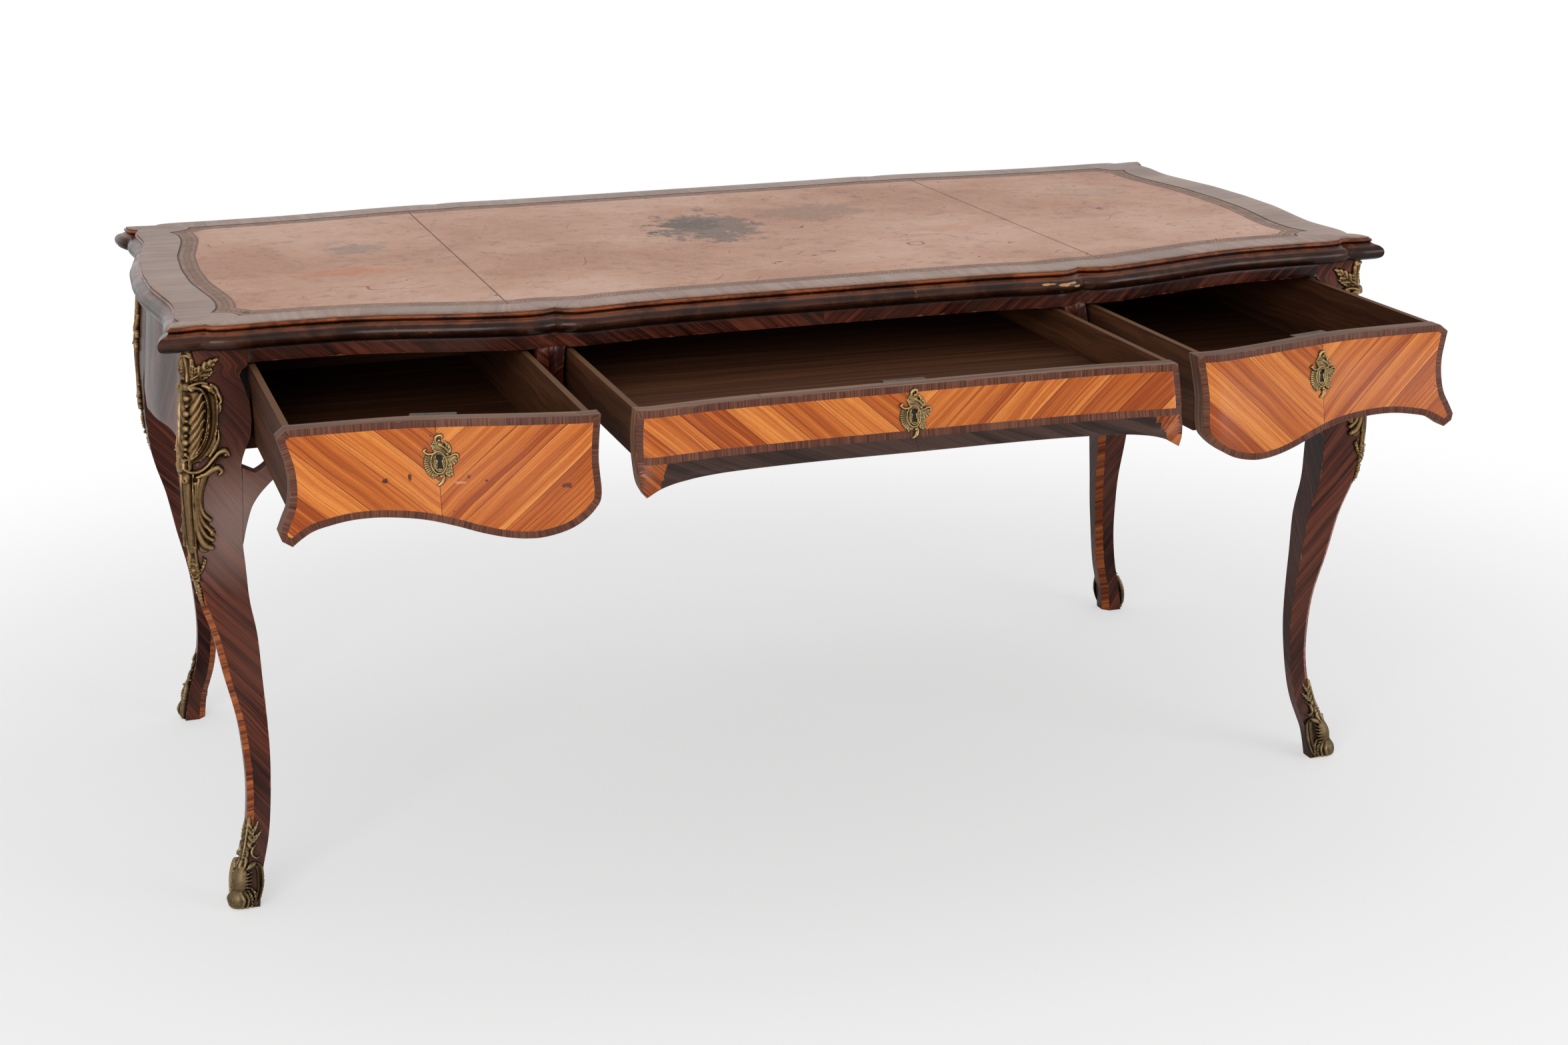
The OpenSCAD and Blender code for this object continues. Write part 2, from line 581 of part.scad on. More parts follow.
// Drawers, from left to right
drawers = [0, 1, 2];
function lock_x(d) = d == 0 ? -(left_in + left_out) / 2 : d == 1 ? (centre_r - centre_l) / 2
    : (right_in + right_out) / 2;
function is_open(d) = d == 0 ? left_open : d == 1 ? centre_open : right_open;
function front_turn(d) = let (x = lock_x(d))
    atan((front_line(x - 20) - front_line(x + 20)) / 40);
function back_of_front(d) = front_face(lock_x(d), drawer_top) - front_t;
function bolt_y(d) = back_of_front(d) - seat - lock_d / 2;
board_l = [-left_out + 10, -centre_l + glue, right_in + 8];
board_r = [-left_in - 8, centre_r - glue, right_out - 10];
function low_of(d) = d == 1 ? shallow_z : deep_z;
// A closed drawer stops just short of the back panel
drawer_back_y = back_y - back_t - 1.5;

module out_by(d) translate([0, -is_open(d), 0]) children();

// The pieces are drawn round the middle of the top. The whole reaches further to the front, so it is moved
// back by half the difference.
front_reach = centre_open + max([for (u = close_ends(22))
    let (p = centre_place(u, 0)) centre_face(p[0], p[1])]);
back_reach = max([for (p = moved_outline(lip)) p[1]]);
module placed() translate([0, (front_reach - back_reach) / 2, 0]) children();
// Front ends of the boards follow the back of the drawer front
module board(d, x) {
    z = low_of(d);
    h = drawer_top - 1 - z;
    near = front_face(x, drawer_top) - front_t - seat;
    far = front_face(x + board_t, drawer_top) - front_t - seat;
    left = x < lock_x(d);
    color("peru")
    difference() {
        translate([0, 0, z])
            linear_extrude(h)
                polygon([[x, -near], [x + board_t, -far],
                    [x + board_t, drawer_back_y], [x, drawer_back_y]]);
        translate([left ? x + board_t - groove : x - 1, -half_d * 2, z + bottom_t])
            cube([groove + 1, half_d * 4, bottom_t]);
    }
}
module drawer_back(d) {
    z = low_of(d);
    color("peru")
    translate([board_l[d] + board_t + glue, drawer_back_y - board_t, z + 2 * bottom_t + glue])
        cube([board_r[d] - board_l[d] - 2 * board_t - 2 * glue, board_t,
            drawer_top - 3 - z - 2 * bottom_t]);
}
module drawer_bottom(d) {
    z = low_of(d) + bottom_t + glue / 2;
    from = board_l[d] + board_t - groove + glue;
    to = board_r[d] - board_t + groove - glue;
    n = 24;
    color("peru")
    translate([0, 0, z])
        linear_extrude(bottom_t - glue)
            polygon(concat(
                [for (i = [0:n])
                    let (x = mix(from, to, i / n)) [x, 0.7 + front_t - front_face(x, z + bottom_t)]],
                [[to, drawer_back_y], [from, drawer_back_y]]));
}

// Lock: a brass case on the back of the front, with a bolt that rises from its top
wall = 1.5;
module at_lock(d) {
    translate([lock_x(d), -bolt_y(d), drawer_top - 0.5])
        rotate([0, 0, front_turn(d)]) children();
}
module lock_case(d) {
    color("goldenrod")
    at_lock(d)
        difference() {
            translate([-lock_w / 2, -lock_d / 2, -lock_h]) cube([lock_w, lock_d, lock_h]);
            translate([-lock_w / 2 + wall, -lock_d / 2 + wall, -lock_h + wall])
                cube([lock_w - 2 * wall, lock_d - 2 * wall, lock_h - 2 * wall]);
            translate([-bolt_w / 2 - 0.3, -bolt_t / 2 - 0.3, -wall - 1])
                cube([bolt_w + 0.6, bolt_t + 0.6, wall + 2]);
        }
}
module lock_bolt(d) {
    color("silver")
    at_lock(d)
        translate([-bolt_w / 2, -bolt_t / 2, bolt_throw + wall + 0.3 - lock_h])
            cube([bolt_w, bolt_t, lock_h - bolt_throw - wall - 0.3]);
}

// Escutcheon: an asymmetrical scrolled plate round a keyhole, held by two round-head pins
plate_edge = [[0, 0.26], [25, 0.35], [50, 0.3], [72, 0.34], [90, 0.5], [100, 0.48], [125, 0.32],
    [150, 0.26], [175, 0.35], [195, 0.29], [220, 0.34], [245, 0.3], [262, 0.44], [272, 0.5], [290, 0.36],
    [320, 0.28], [345, 0.36], [360, 0.26]];
module escutcheon(d) {
    x = lock_x(d);
    z = drawer_top - (d == 1 ? 0.26 : 0.35) * ear_depth;
    sx = (front_face(x + 16, z) - front_face(x - 16, z)) / 32;
    sz = (front_face(x, z + 24) - front_face(x, z - 24)) / 48;
    plane = max([for (i = [-16:8:16]) for (j = [-escutcheon_h / 2:2:escutcheon_h / 2])
        (d == 1 ? centre_face(x + i, z + j) : front_face(x + i, z + j)) - sx * i - sz * j]);
    color("goldenrod")
    translate([x, -plane - seat, z])
        rotate([0, 0, -atan(sx)])
            rotate([90 + atan(sz), 0, 0]) {
                difference() {
                    linear_extrude(escutcheon_t)
                        polygon([for (a = [0:7.5:352.5])
                            escutcheon_h * curve(plate_edge, a) * [cos(a), sin(a)]]);
                    translate([0, 4, -1]) cylinder(r = 3.2, h = escutcheon_t + 2);
                    translate([-1.6, -9, -1]) cube([3.2, 13, escutcheon_t + 2]);
                }
                for (y = [-0.4, 0.4])
                    translate([0, y * escutcheon_h, escutcheon_t + glue]) cylinder(r = 1.8, h = 1.2);
            }
}

// Bronzes hug the outer corner of a leg. Up each one: how far it reaches along the front and side,
// and how proud it stands, as shares of the width of the leg at the knee or at the ankle.
chute_form = [[0, 0.05, 0.031], [0.04, 0.11, 0.077], [0.07, 0.12, 0.092], [0.1, 0.18, 0.108],
    [0.14, 0.28, 0.123], [0.17, 0.22, 0.077], [0.2, 0.34, 0.092], [0.24, 0.43, 0.092], [0.3, 0.46, 0.123],
    [0.38, 0.43, 0.138], [0.46, 0.42, 0.138], [0.52, 0.42, 0.123], [0.56, 0.62, 0.154],
    [0.6, 0.83, 0.138], [0.64, 0.58, 0.154], [0.68, 0.52, 0.108], [0.74, 0.51, 0.138],
    [0.82, 0.55, 0.138], [0.86, 0.46, 0.154], [0.89, 0.31, 0.092], [0.92, 0.43, 0.092],
    [0.95, 0.62, 0.108], [0.97, 0.43, 0.092], [1, 0.15, 0.046]];
chute_top = under_top - 2;
function reach(form, t) = curve([for (f = form) [f[0], f[1]]], t);
function proud(form, t) = curve([for (f = form) [f[0], f[2]]], t);
// The leg is straight between its levels, and so is the back of a bronze
function straight(f, z) =
    let (i = clamp(len([for (l = leg_levels) if (l <= z) 1]) - 1, 0, len(leg_levels) - 2),
        a = leg_levels[i], b = leg_levels[i + 1])
    mix(f(a), f(b), (z - a) / (b - a));
module corner_bronze(form, width, low, tall, rings, side_share) {
    loft([for (i = [0:rings])
        let (t = i / rings, z = low + t * tall, c = arris_w, e = 0.8, g = seat,
            x = straight(function(h) leg_x(h), z), y = straight(function(h) leg_y(h), z),
            a = min(width * reach(form, t), leg_w(z) - arris_w - 2),
            s = a * side_share, p = width * proud(form, t))
        [[x - c - a, -y - g - e, z], [x - c - a * 0.7, -y - g - p, z],
            [x - c - a * 0.35, -y - g - p * 0.55, z], [x + p * 0.45, -y - p * 0.45, z],
            [x + g + p * 0.55, -y + c + s * 0.35, z], [x + g + p, -y + c + s * 0.7, z],
            [x + g + e, -y + c + s, z], [x + g, -y + c + s, z], [x + g, -y + c, z],
            [x - c, -y - g, z], [x - c - a, -y - g, z]]]);
}
module chute() {
    color("darkgoldenrod") corner_bronze(chute_form, knee_w, chute_top - chute_h, chute_h, 44, 0.8);
}
sabot_form = [[0, 0.7, 0.167], [0.06, 0.7, 0.3], [0.14, 0.67, 0.433], [0.22, 0.67, 0.4],
    [0.3, 0.6, 0.267], [0.4, 0.53, 0.2], [0.5, 0.47, 0.267], [0.6, 0.5, 0.2], [0.72, 0.4, 0.167],
    [0.85, 0.3, 0.133], [0.95, 0.17, 0.1], [1, 0.07, 0.033]];
module sabot() {
    color("darkgoldenrod") corner_bronze(sabot_form, ankle_w, 0.3, sabot_h, 20, 1);
}

// Round-head pins on the flanks of the knee mounts
module mount_pins() {
    color("gold")
    for (left = [false, true]) for (back = [false, true]) for (t = [0.3, 0.86])
        at_corner(left, back)
            let (z = chute_top - chute_h * (1 - t), p = knee_w * proud(chute_form, t),
                a = knee_w * reach(chute_form, t))
            translate([leg_x(z) - arris_w - a * 0.7, -leg_y(z) - seat - p - glue, z])
                rotate([90, 0, 0]) cylinder(r = 2, h = 1.2);
}

placed() top_board();
placed() moulding(2 * turns - ear_i, 2 * turns + ear_i);  // edge_moulding_front
placed() moulding(ear_i, 2 * last - ear_i);  // edge_moulding_right
placed() moulding(2 * last - ear_i, 2 * last + ear_i);  // edge_moulding_back
placed() moulding(2 * last + ear_i, turns - ear_i);  // edge_moulding_left
placed() veneer_border();
placed() leather_skins();
placed() at_corner(true, false) leg(left_out);  // leg_front_left
placed() at_corner(false, false) leg(right_out);  // leg_front_right
placed() at_corner(true, true) leg(left_out);  // leg_back_left
placed() at_corner(false, true) leg(right_out);  // leg_back_right
placed() knee_blocks();
placed() front_rail();
placed() stile_left();
placed() stile_right();
placed() side_panel_left();
placed() side_panel_right();
placed() back_panel();
placed() back_stiles();
placed() sham_front_left();
placed() sham_front_centre();
placed() sham_front_right();
placed() partition_left();
placed() partition_right();
placed() runners();
placed() kickers();
placed() at_corner(true, false) chute();  // chute_front_left
placed() at_corner(false, false) chute();  // chute_front_right
placed() at_corner(true, true) chute();  // chute_back_left
placed() at_corner(false, true) chute();  // chute_back_right
placed() at_corner(true, false) sabot();  // sabot_front_left
placed() at_corner(false, false) sabot();  // sabot_front_right
placed() at_corner(true, true) sabot();  // sabot_back_left
placed() at_corner(false, true) sabot();  // sabot_back_right
placed() mount_pins();
placed() out_by(0) left_front();
placed() out_by(0) board(0, board_l[0]);  // left_side_outer
placed() out_by(0) board(0, board_r[0] - board_t);  // left_side_inner
placed() out_by(0) drawer_back(0);  // left_back
placed() out_by(0) drawer_bottom(0);  // left_bottom
placed() out_by(0) escutcheon(0);  // left_escutcheon
placed() out_by(0) lock_case(0);  // left_lock_case
placed() out_by(0) lock_bolt(0);  // left_lock_bolt
placed() out_by(1) centre_front();
placed() out_by(1) board(1, board_l[1]);  // centre_side_left
placed() out_by(1) board(1, board_r[1] - board_t);  // centre_side_right
placed() out_by(1) drawer_back(1);  // centre_back
placed() out_by(1) drawer_bottom(1);  // centre_bottom
placed() out_by(1) escutcheon(1);  // centre_escutcheon
placed() out_by(1) lock_case(1);  // centre_lock_case
placed() out_by(1) lock_bolt(1);  // centre_lock_bolt
placed() out_by(2) right_front();
placed() out_by(2) board(2, board_r[2] - board_t);  // right_side_outer
placed() out_by(2) board(2, board_l[2]);  // right_side_inner
placed() out_by(2) drawer_back(2);  // right_back
placed() out_by(2) drawer_bottom(2);  // right_bottom
placed() out_by(2) escutcheon(2);  // right_escutcheon
placed() out_by(2) lock_case(2);  // right_lock_case
placed() out_by(2) lock_bolt(2);  // right_lock_bolt
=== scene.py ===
# %% [markdown]
# # A bureau plat in veneer, leather and gilt bronze
# The object is a serpentine writing table with three drawers, all of them pulled out. The solids of the
# part come in as a fixed frame, in metres, with the front towards -Y and the floor at zero.
# Everything below is dressed onto that frame: each visible piece is either a solid of the frame with a
# finish of its own, or a finer mesh that stands in the very same place.

# %% Load the frame
import json
import math
from functools import partial

import bmesh
import bpy
import numpy as np
from mathutils import Matrix, Vector, geometry


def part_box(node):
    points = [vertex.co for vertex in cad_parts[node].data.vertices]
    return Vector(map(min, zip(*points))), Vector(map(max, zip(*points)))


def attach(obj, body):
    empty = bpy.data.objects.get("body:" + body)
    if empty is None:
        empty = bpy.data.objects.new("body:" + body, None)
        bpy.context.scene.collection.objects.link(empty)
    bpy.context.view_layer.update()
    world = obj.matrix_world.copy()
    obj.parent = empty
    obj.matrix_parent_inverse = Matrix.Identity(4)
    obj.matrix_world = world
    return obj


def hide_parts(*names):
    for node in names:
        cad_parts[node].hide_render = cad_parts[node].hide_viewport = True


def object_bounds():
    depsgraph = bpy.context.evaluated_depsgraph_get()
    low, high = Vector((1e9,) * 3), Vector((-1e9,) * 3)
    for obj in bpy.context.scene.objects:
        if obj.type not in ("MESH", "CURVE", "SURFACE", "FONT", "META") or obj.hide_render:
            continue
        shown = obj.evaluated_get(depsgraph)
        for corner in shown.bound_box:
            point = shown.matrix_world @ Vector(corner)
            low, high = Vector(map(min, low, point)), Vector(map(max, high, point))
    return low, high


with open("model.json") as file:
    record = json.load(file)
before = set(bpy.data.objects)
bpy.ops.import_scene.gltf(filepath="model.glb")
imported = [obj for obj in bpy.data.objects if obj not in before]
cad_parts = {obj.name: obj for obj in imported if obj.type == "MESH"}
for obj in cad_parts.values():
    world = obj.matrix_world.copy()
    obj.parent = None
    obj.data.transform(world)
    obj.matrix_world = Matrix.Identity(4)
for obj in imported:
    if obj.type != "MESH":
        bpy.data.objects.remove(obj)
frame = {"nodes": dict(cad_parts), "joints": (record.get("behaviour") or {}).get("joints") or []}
nodes = frame["nodes"]
cad_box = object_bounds()
scene = bpy.context.scene
MM = 0.001
print("the table is", [round(b - a, 3) for a, b in zip(*cad_box)], "m over all")

# %% [markdown]
# ## The camera
# A photograph fixes its own camera: the four feet, the corners of the top and the leather are known in
# size, so the place, the turn and the focal length follow from where they fall in the picture.
# A level camera would bend the verticals; this one looks down a little and is rolled by under a degree.

# %% Camera
IMAGE_WIDTH = 2352
FOCAL_PIXELS = 3835.1
SENSOR = 36.0
CAMERA_PLACE = Vector((-1.0365, -3.3339, 1.4336))
YAW, PITCH, ROLL = 0.3060, 0.2898, -0.0141

forward = Vector((math.sin(YAW) * math.cos(PITCH), math.cos(YAW) * math.cos(PITCH), -math.sin(PITCH)))
level = Vector((math.cos(YAW), -math.sin(YAW), 0))
upright = level.cross(forward)
right = math.cos(ROLL) * level + math.sin(ROLL) * upright
up = math.cos(ROLL) * upright - math.sin(ROLL) * level
lens = bpy.data.cameras.new("camera")
lens.sensor_width = SENSOR
lens.lens = SENSOR * FOCAL_PIXELS / IMAGE_WIDTH
camera = bpy.data.objects.new("camera", lens)
camera.matrix_world = Matrix.Translation(CAMERA_PLACE) @ Matrix((right, up, -forward)).transposed().to_4x4()
scene.collection.objects.link(camera)
scene.camera = camera
print("lens", round(lens.lens, 1), "mm")

# %% [markdown]
# ## Nodes and colours
# Finishes are written as shader nodes. One helper adds a node, sets it and links it, so that a finish reads
# as a list of steps. Colours are written as sRGB hex, the way a paint program shows them, and one function
# turns them into the linear values that a renderer mixes.

# %% Helpers for finishes
NOISE_MEAN = 0.5


def colour(code):
    """An sRGB hex colour as linear red, green, blue and full cover."""
    parts = [int(code[i:i + 2], 16) / 255 for i in (1, 3, 5)]
    return [c / 12.92 if c <= 0.04045 else ((c + 0.055) / 1.055) ** 2.4 for c in parts] + [1.0]


def add_node(tree, kind, inputs=(), out=0, stops=(), **named):
    """Adds a node and gives one of its outputs. The kind may have an operation after a point.

    Inputs take values or links, by number or by name. A name with a capital is an input, any other a setting.
    """
    kind, _, operation = kind.partition(".")
    node = tree.nodes.new("ShaderNode" + kind)
    if operation:
        node.operation = operation
    given = dict(inputs if isinstance(inputs, dict) else enumerate(inputs))
    for name, value in named.items():
        if name[0].isupper():
            given[name.replace("_", " ")] = value
        else:
            setattr(node, name, value)
    for key, value in given.items():
        if isinstance(value, bpy.types.NodeSocket):
            tree.links.new(value, node.inputs[key])
        else:
            node.inputs[key].default_value = colour(value) if isinstance(value, str) else value
    for i, (place, shade) in enumerate(stops):
        marks = node.color_ramp.elements
        mark = marks[i] if i < len(marks) else marks.new(place)
        mark.position = place
        mark.color = colour(shade) if isinstance(shade, str) else (shade, shade, shade, 1)
    return node.outputs[out] if len(node.outputs) else node


def blank(owner):
    """Empties the node tree of a material or a world, and gives it with the function that adds nodes to it."""
    owner.use_nodes = True
    owner.node_tree.nodes.clear()
    return owner, partial(add_node, owner.node_tree)


def surface(add, height, depth_mm, **inputs):
    """Closes a finish: relief of a real depth, the surface shader and the output."""
    relief = add("Bump", Distance=depth_mm * MM, Height=height)
    add("OutputMaterial", (add("BsdfPrincipled", Normal=relief, **inputs),))


def blotch(add, place, base, ragged, spot, torn_by=2.0, soft=0.25):
    """Mixes a ragged spot into a finish: its centre and half sizes in metres, its shade and its strength."""
    centre, reach, shade, share = spot
    away = add("VectorMath.SUBTRACT", (place, centre))
    away = add("VectorMath.MULTIPLY", (away, [1 / half for half in reach]))
    away = add("VectorMath.LENGTH", (away,), out="Value")
    away = add("Math.MULTIPLY_ADD", (ragged, torn_by, away))
    # A noise is 0.5 on average, so that much of the tearing is what a whole edge has
    edge = 1 + NOISE_MEAN * torn_by
    inside = add("MapRange", (away, edge - soft, edge, share, 0.0))
    return add("Mix", {0: inside, 6: base, 7: shade}, out=2, data_type="RGBA")


# %% [markdown]
# ## Veneer
# All the woods here are sawn veneer: sheets a millimetre or two thick, sliced along the log, so each shows
# long streaks. The streaks are one noise squeezed hard across the grain and stretched along it. Each new wooden
# piece carries a map named grain, in metres, whose first number runs across the grain and whose second runs
# along it, so one recipe serves straight, slanted and cross-cut leaves alike. A second map named edge holds
# the distance along the outline and in from it, for wear that gathers at the edges. A solid of the frame has
# no such maps, so there the recipe takes its grain from an axis instead.

# %% Where the grain runs
def grain_of(add, axis):
    """The numbers across and along the grain, then the way from the joint and the way in from the edge."""
    if axis is None:
        grain = add("SeparateXYZ", (add("UVMap", uv_map="grain"),)).node.outputs
        edge = add("SeparateXYZ", (add("UVMap", uv_map="edge"),)).node.outputs
        return grain[0], grain[1], edge[0], edge[1]
    place = add("SeparateXYZ", (add("TexCoord", out="Object"),)).node.outputs
    other = [place[i] for i in range(3) if "XYZ"[i] != axis]
    across = add("Math.MULTIPLY_ADD", (other[1], 0.7, other[0]))
    return across, place["XYZ".index(axis)], None, None


# %% Veneer recipe
WANDER = 14 * MM
RUBBED_WIDE = 1.4 * MM
SEAM_HALF_MM = 0.45
JOINT_HALF = 0.5 * MM


def veneer(name, shades, vein, leaf_mm=80, streak_mm=2.2, band_mm=11, gloss=0.28, coat=0.2, shine=0.3,
           wear="#8a5a3c", spread=0.2, bloom=None, axis=None, veins=0.41, upper=None, marks=(), painted_light_spots=(),
           contrast=1.0):
    """A sliced wood: shades from dark to light, the vein colour, and sizes in millimetres."""
    material, add = blank(bpy.data.materials.new(name))
    place = add("TexCoord", out="Object")
    across, along, from_joint, from_edge = grain_of(add, axis)
    leaves = add("Math.DIVIDE", (across, leaf_mm * MM))
    leaf = add("Math.FLOOR", (leaves,))
    chance = add("TexWhiteNoise", W=leaf, noise_dimensions="1D")
    wander = add("TexNoise", Vector=place, Scale=7.0, Detail=2.0)
    bent = add("Math.MULTIPLY_ADD", (wander, WANDER, across))
    # Broad bands, streaks, fine threads and pores: how wide and how long each is, in millimetres
    layers = []
    for wide_mm, long_mm, detail in ((band_mm, 420, 3.0), (streak_mm, 170, 5.0), (1.1, 260, 3.0), (0.35, 5, 1.0)):
        squeezed = add("CombineXYZ", (
            add("Math.DIVIDE", (bent, wide_mm * MM)),
            add("Math.MULTIPLY_ADD", (along, 1 / (long_mm * MM), chance)),
            add("Math.MULTIPLY", (chance, 9.0))))
        layers.append(add("TexNoise", Vector=squeezed, Scale=1.0, Detail=detail, Roughness=0.6))
    bands, streaks, threads, pores = layers
    tone = add("Mix", {0: 0.4, 2: bands, 3: streaks}, data_type="FLOAT")
    leaf_tone = add("MapRange", (chance, 0.0, 1.0, -spread * 0.5, spread * 0.5))
    tone = add("Math.ADD", (tone, leaf_tone))
    swing = 0.11 / contrast
    base = add("ValToRGB", (tone,), stops=[
        (NOISE_MEAN + side * swing, shade) for side, shade in zip((-1, 0, 1), shades)])
    thread = add("ValToRGB", (threads,), stops=((veins - 0.09, 0.8), (veins, 0.0)))
    pore = add("ValToRGB", (pores,), stops=((0.3, 0.35), (0.38, 0.0)))
    cloudy = add("TexNoise", Vector=place, Scale=24.0, Detail=3.0)
    dull = add("Math.MULTIPLY_ADD", (cloudy, 0.18, gloss - 0.06))
    # Each coat is laid over the last one: where it lies, and its shade
    coats = [(pore, vein)]
    if bloom:
        cloud = add("TexNoise", Vector=place, Scale=6.0, Detail=4.0)
        coats.append((add("ValToRGB", (cloud,), stops=((0.42, 0.0), (0.7, 0.55))), bloom))
    if axis is None:
        # Dark glue lines, under a millimetre wide, between leaves and at the middle joint
        seam = add("Math.FRACT", (leaves,))
        seam = add("Math.SUBTRACT", (seam, 0.5))
        seam = add("Math.ABSOLUTE", (seam,))
        seam = add("Math.GREATER_THAN", (seam, 0.5 - SEAM_HALF_MM / leaf_mm))
        joint = add("Math.LESS_THAN", (from_joint, JOINT_HALF))
        seam = add("Math.MAXIMUM", (seam, joint))
        seam = add("Math.MULTIPLY", (seam, 0.75))
        patches = add("TexNoise", Vector=place, Scale=70.0, Detail=4.0)
        rubbed = add("Math.MULTIPLY_ADD", (from_edge, -0.12 / RUBBED_WIDE, patches))
        rubbed = add("ValToRGB", (rubbed,), stops=((0.5, 0.0), (0.6, 0.6)))
        dull = add("Math.MULTIPLY_ADD", (rubbed, 0.2, dull))
        coats = [(seam, vein), *coats, (rubbed, wear)]
    if upper:
        # Faces that look upwards are painted paler, a painted highlight on the upper edges of the boards
        facing = add("SeparateXYZ", (add("NewGeometry", out="Normal"),)).node.outputs[2]
        coats.append((add("Math.GREATER_THAN", (facing, 0.8)), upper))
    for share, shade in [(thread, vein), *coats]:
        base = add("Mix", {0: share, 6: base, 7: shade}, out=2, data_type="RGBA")
    if marks:
        ragged = add("TexNoise", Vector=place, Scale=150.0, Detail=3.0)
        for spot in marks:
            base = blotch(add, place, base, ragged, spot)
    # Painted light: soft spots streaked along the grain, here a painted shade and a painted reflection on the left
    # front leg
    for spot in painted_light_spots:
        base = blotch(add, place, base, streaks, spot, torn_by=0.8, soft=0.8)
    # Worm holes a millimetre and a half wide, about three centimetres apart
    holes = add("TexVoronoi", Vector=place, Scale=34.0, out="Distance")
    holes = add("ValToRGB", (holes,), stops=((0.022, 1.0), (0.034, 0.0)))
    base = add("Mix", {0: holes, 6: base, 7: "#140805"}, out=2, data_type="RGBA")
    relief = add("Math.SUBTRACT", (streaks, pore))
    relief = add("Math.MULTIPLY_ADD", (holes, -4.0, relief))
    surface(add, relief, 0.06, Base_Color=base, Roughness=dull, Specular_IOR_Level=shine, Coat_Weight=coat,
            Coat_Roughness=0.15)
    return material


# %% The woods
# Knocks and scuffs of the left drawer's front: the place, half sizes, shade and strength of each, in metres.
DRAWER_KNOCKS = [
    ((-0.627, -0.55, 0.659), (0.004, 0.1, 0.003), "#3a1709", 0.9),
    ((-0.600, -0.55, 0.662), (0.002, 0.1, 0.004), "#3a1709", 0.9),
    ((-0.535, -0.55, 0.660), (0.003, 0.1, 0.003), "#4a1f0c", 0.8),
    ((-0.516, -0.55, 0.656), (0.002, 0.1, 0.002), "#3a1709", 0.8),
    ((-0.429, -0.55, 0.648), (0.006, 0.1, 0.004), "#42200f", 0.8),
    ((-0.544, -0.55, 0.654), (0.007, 0.1, 0.002), "#c9a184", 0.45),
    ((-0.567, -0.55, 0.655), (0.003, 0.1, 0.002), "#c9a184", 0.45),
]
# The left front leg: a painted shade darkens it under the top, and a painted pale reflection lies on the knee.
KNEE_PAINTED_SHADE_AND_REFLECTION = [
    ((-0.750, -0.215, 0.680), (0.110, 0.12, 0.100), "#240d07", 0.6),
    ((-0.765, -0.215, 0.530), (0.110, 0.12, 0.095), "#957d74", 0.5),
]
# French polished bois de violette: dark red-brown stripes, with a soft grey sheen where the polish has bloomed. On the
# left front leg it also carries a painted shade and a painted reflection.
rosewood = veneer("bois_de_violette_polished", ("#1a0805", "#3f1a10", "#653222"), "#0e0403", leaf_mm=62,
                  band_mm=7, gloss=0.24, coat=0.08, shine=0.13, bloom="#54352c", spread=0.14, painted_light_spots=KNEE_PAINTED_SHADE_AND_REFLECTION)
# Tulipwood, quarter cut and oiled with age to orange, with rose-brown stripes and dark glue lines.
tulipwood = veneer("tulipwood_polished", ("#8d3d11", "#b45f24", "#d0803b"), "#5e210b", leaf_mm=37,
                   streak_mm=1.5, band_mm=6, gloss=0.28, coat=0.08, shine=0.2, wear="#b98a5c", spread=0.26, veins=0.4,
                   contrast=0.78, marks=DRAWER_KNOCKS)
# Cross-cut purplewood in a narrow band, its grain square to the edge, brown and open-pored.
crossband = veneer("crossbanded_purplewood", ("#43231a", "#5a3528", "#6f4634"), "#2b140d", leaf_mm=42,
                   streak_mm=0.9, band_mm=2.5, gloss=0.4, coat=0.0, shine=0.15, wear="#7d533d", spread=0.08)
# Tulipwood again, across the grain, in the slips let into the arrises of the legs.
slip_wood = veneer("tulipwood_slip", ("#4e1e0d", "#86401c", "#ab5f2e"), "#2b0f07", leaf_mm=34, streak_mm=1.2,
                   band_mm=5, gloss=0.3, coat=0.05, shine=0.15, spread=0.1)
# The apron under the middle drawer, the same dark wood gone nearly black with polish and dirt, its colour greyed as a
# painted sheen.
apron_wood_painted_sheen = veneer("bois_de_violette_darkened_painted_sheen", ("#190c09", "#2d1c17", "#402c25"), "#0e0705", leaf_mm=90,
                    gloss=0.3, coat=0.08, shine=0.2, wear="#6d4936")
# The faded crossbanding of the top, bleached to a brown grey, glossy, with long shrinkage cracks.
border_wood = veneer("faded_top_banding", ("#735343", "#866452", "#977563"), "#3a261d", leaf_mm=130,
                     streak_mm=1.6, gloss=0.36, coat=0.08, shine=0.22, wear="#4c2c1c", bloom="#96806f", veins=0.36)
# Plain oak of the drawer boxes, dark and dry with handling and dust, once for each way that boards run. The lengthwise
# oak paints its upward faces paler as a painted highlight.
oak_edges, oak_along, oak_across = [
    veneer("old_oak_" + way, ("#2a150b", "#462817", "#5f3b25"), "#120904", leaf_mm=260, streak_mm=2.4,
           gloss=0.65, coat=0.0, shine=0.12, wear="#5b3c27", spread=0.1, axis=axis, upper=upper,
           contrast=0.6, veins=0.38)
    for way, axis, upper in (("edges", None, None), ("lengthwise", "Y", "#664730"), ("crosswise", "X", None))]
# The bare upper edge of a drawer front, brown grey from touch.
edge_wood = veneer("bare_drawer_edge", ("#4a3022", "#6a4a38", "#86654f"), "#2b1a12", leaf_mm=300, streak_mm=1.6,
                   gloss=0.5, coat=0.0, shine=0.2, wear="#9b7a62", spread=0.1)
print("woods:", [m.name for m in (rosewood, tulipwood, crossband, slip_wood, border_wood, oak_edges, edge_wood)])
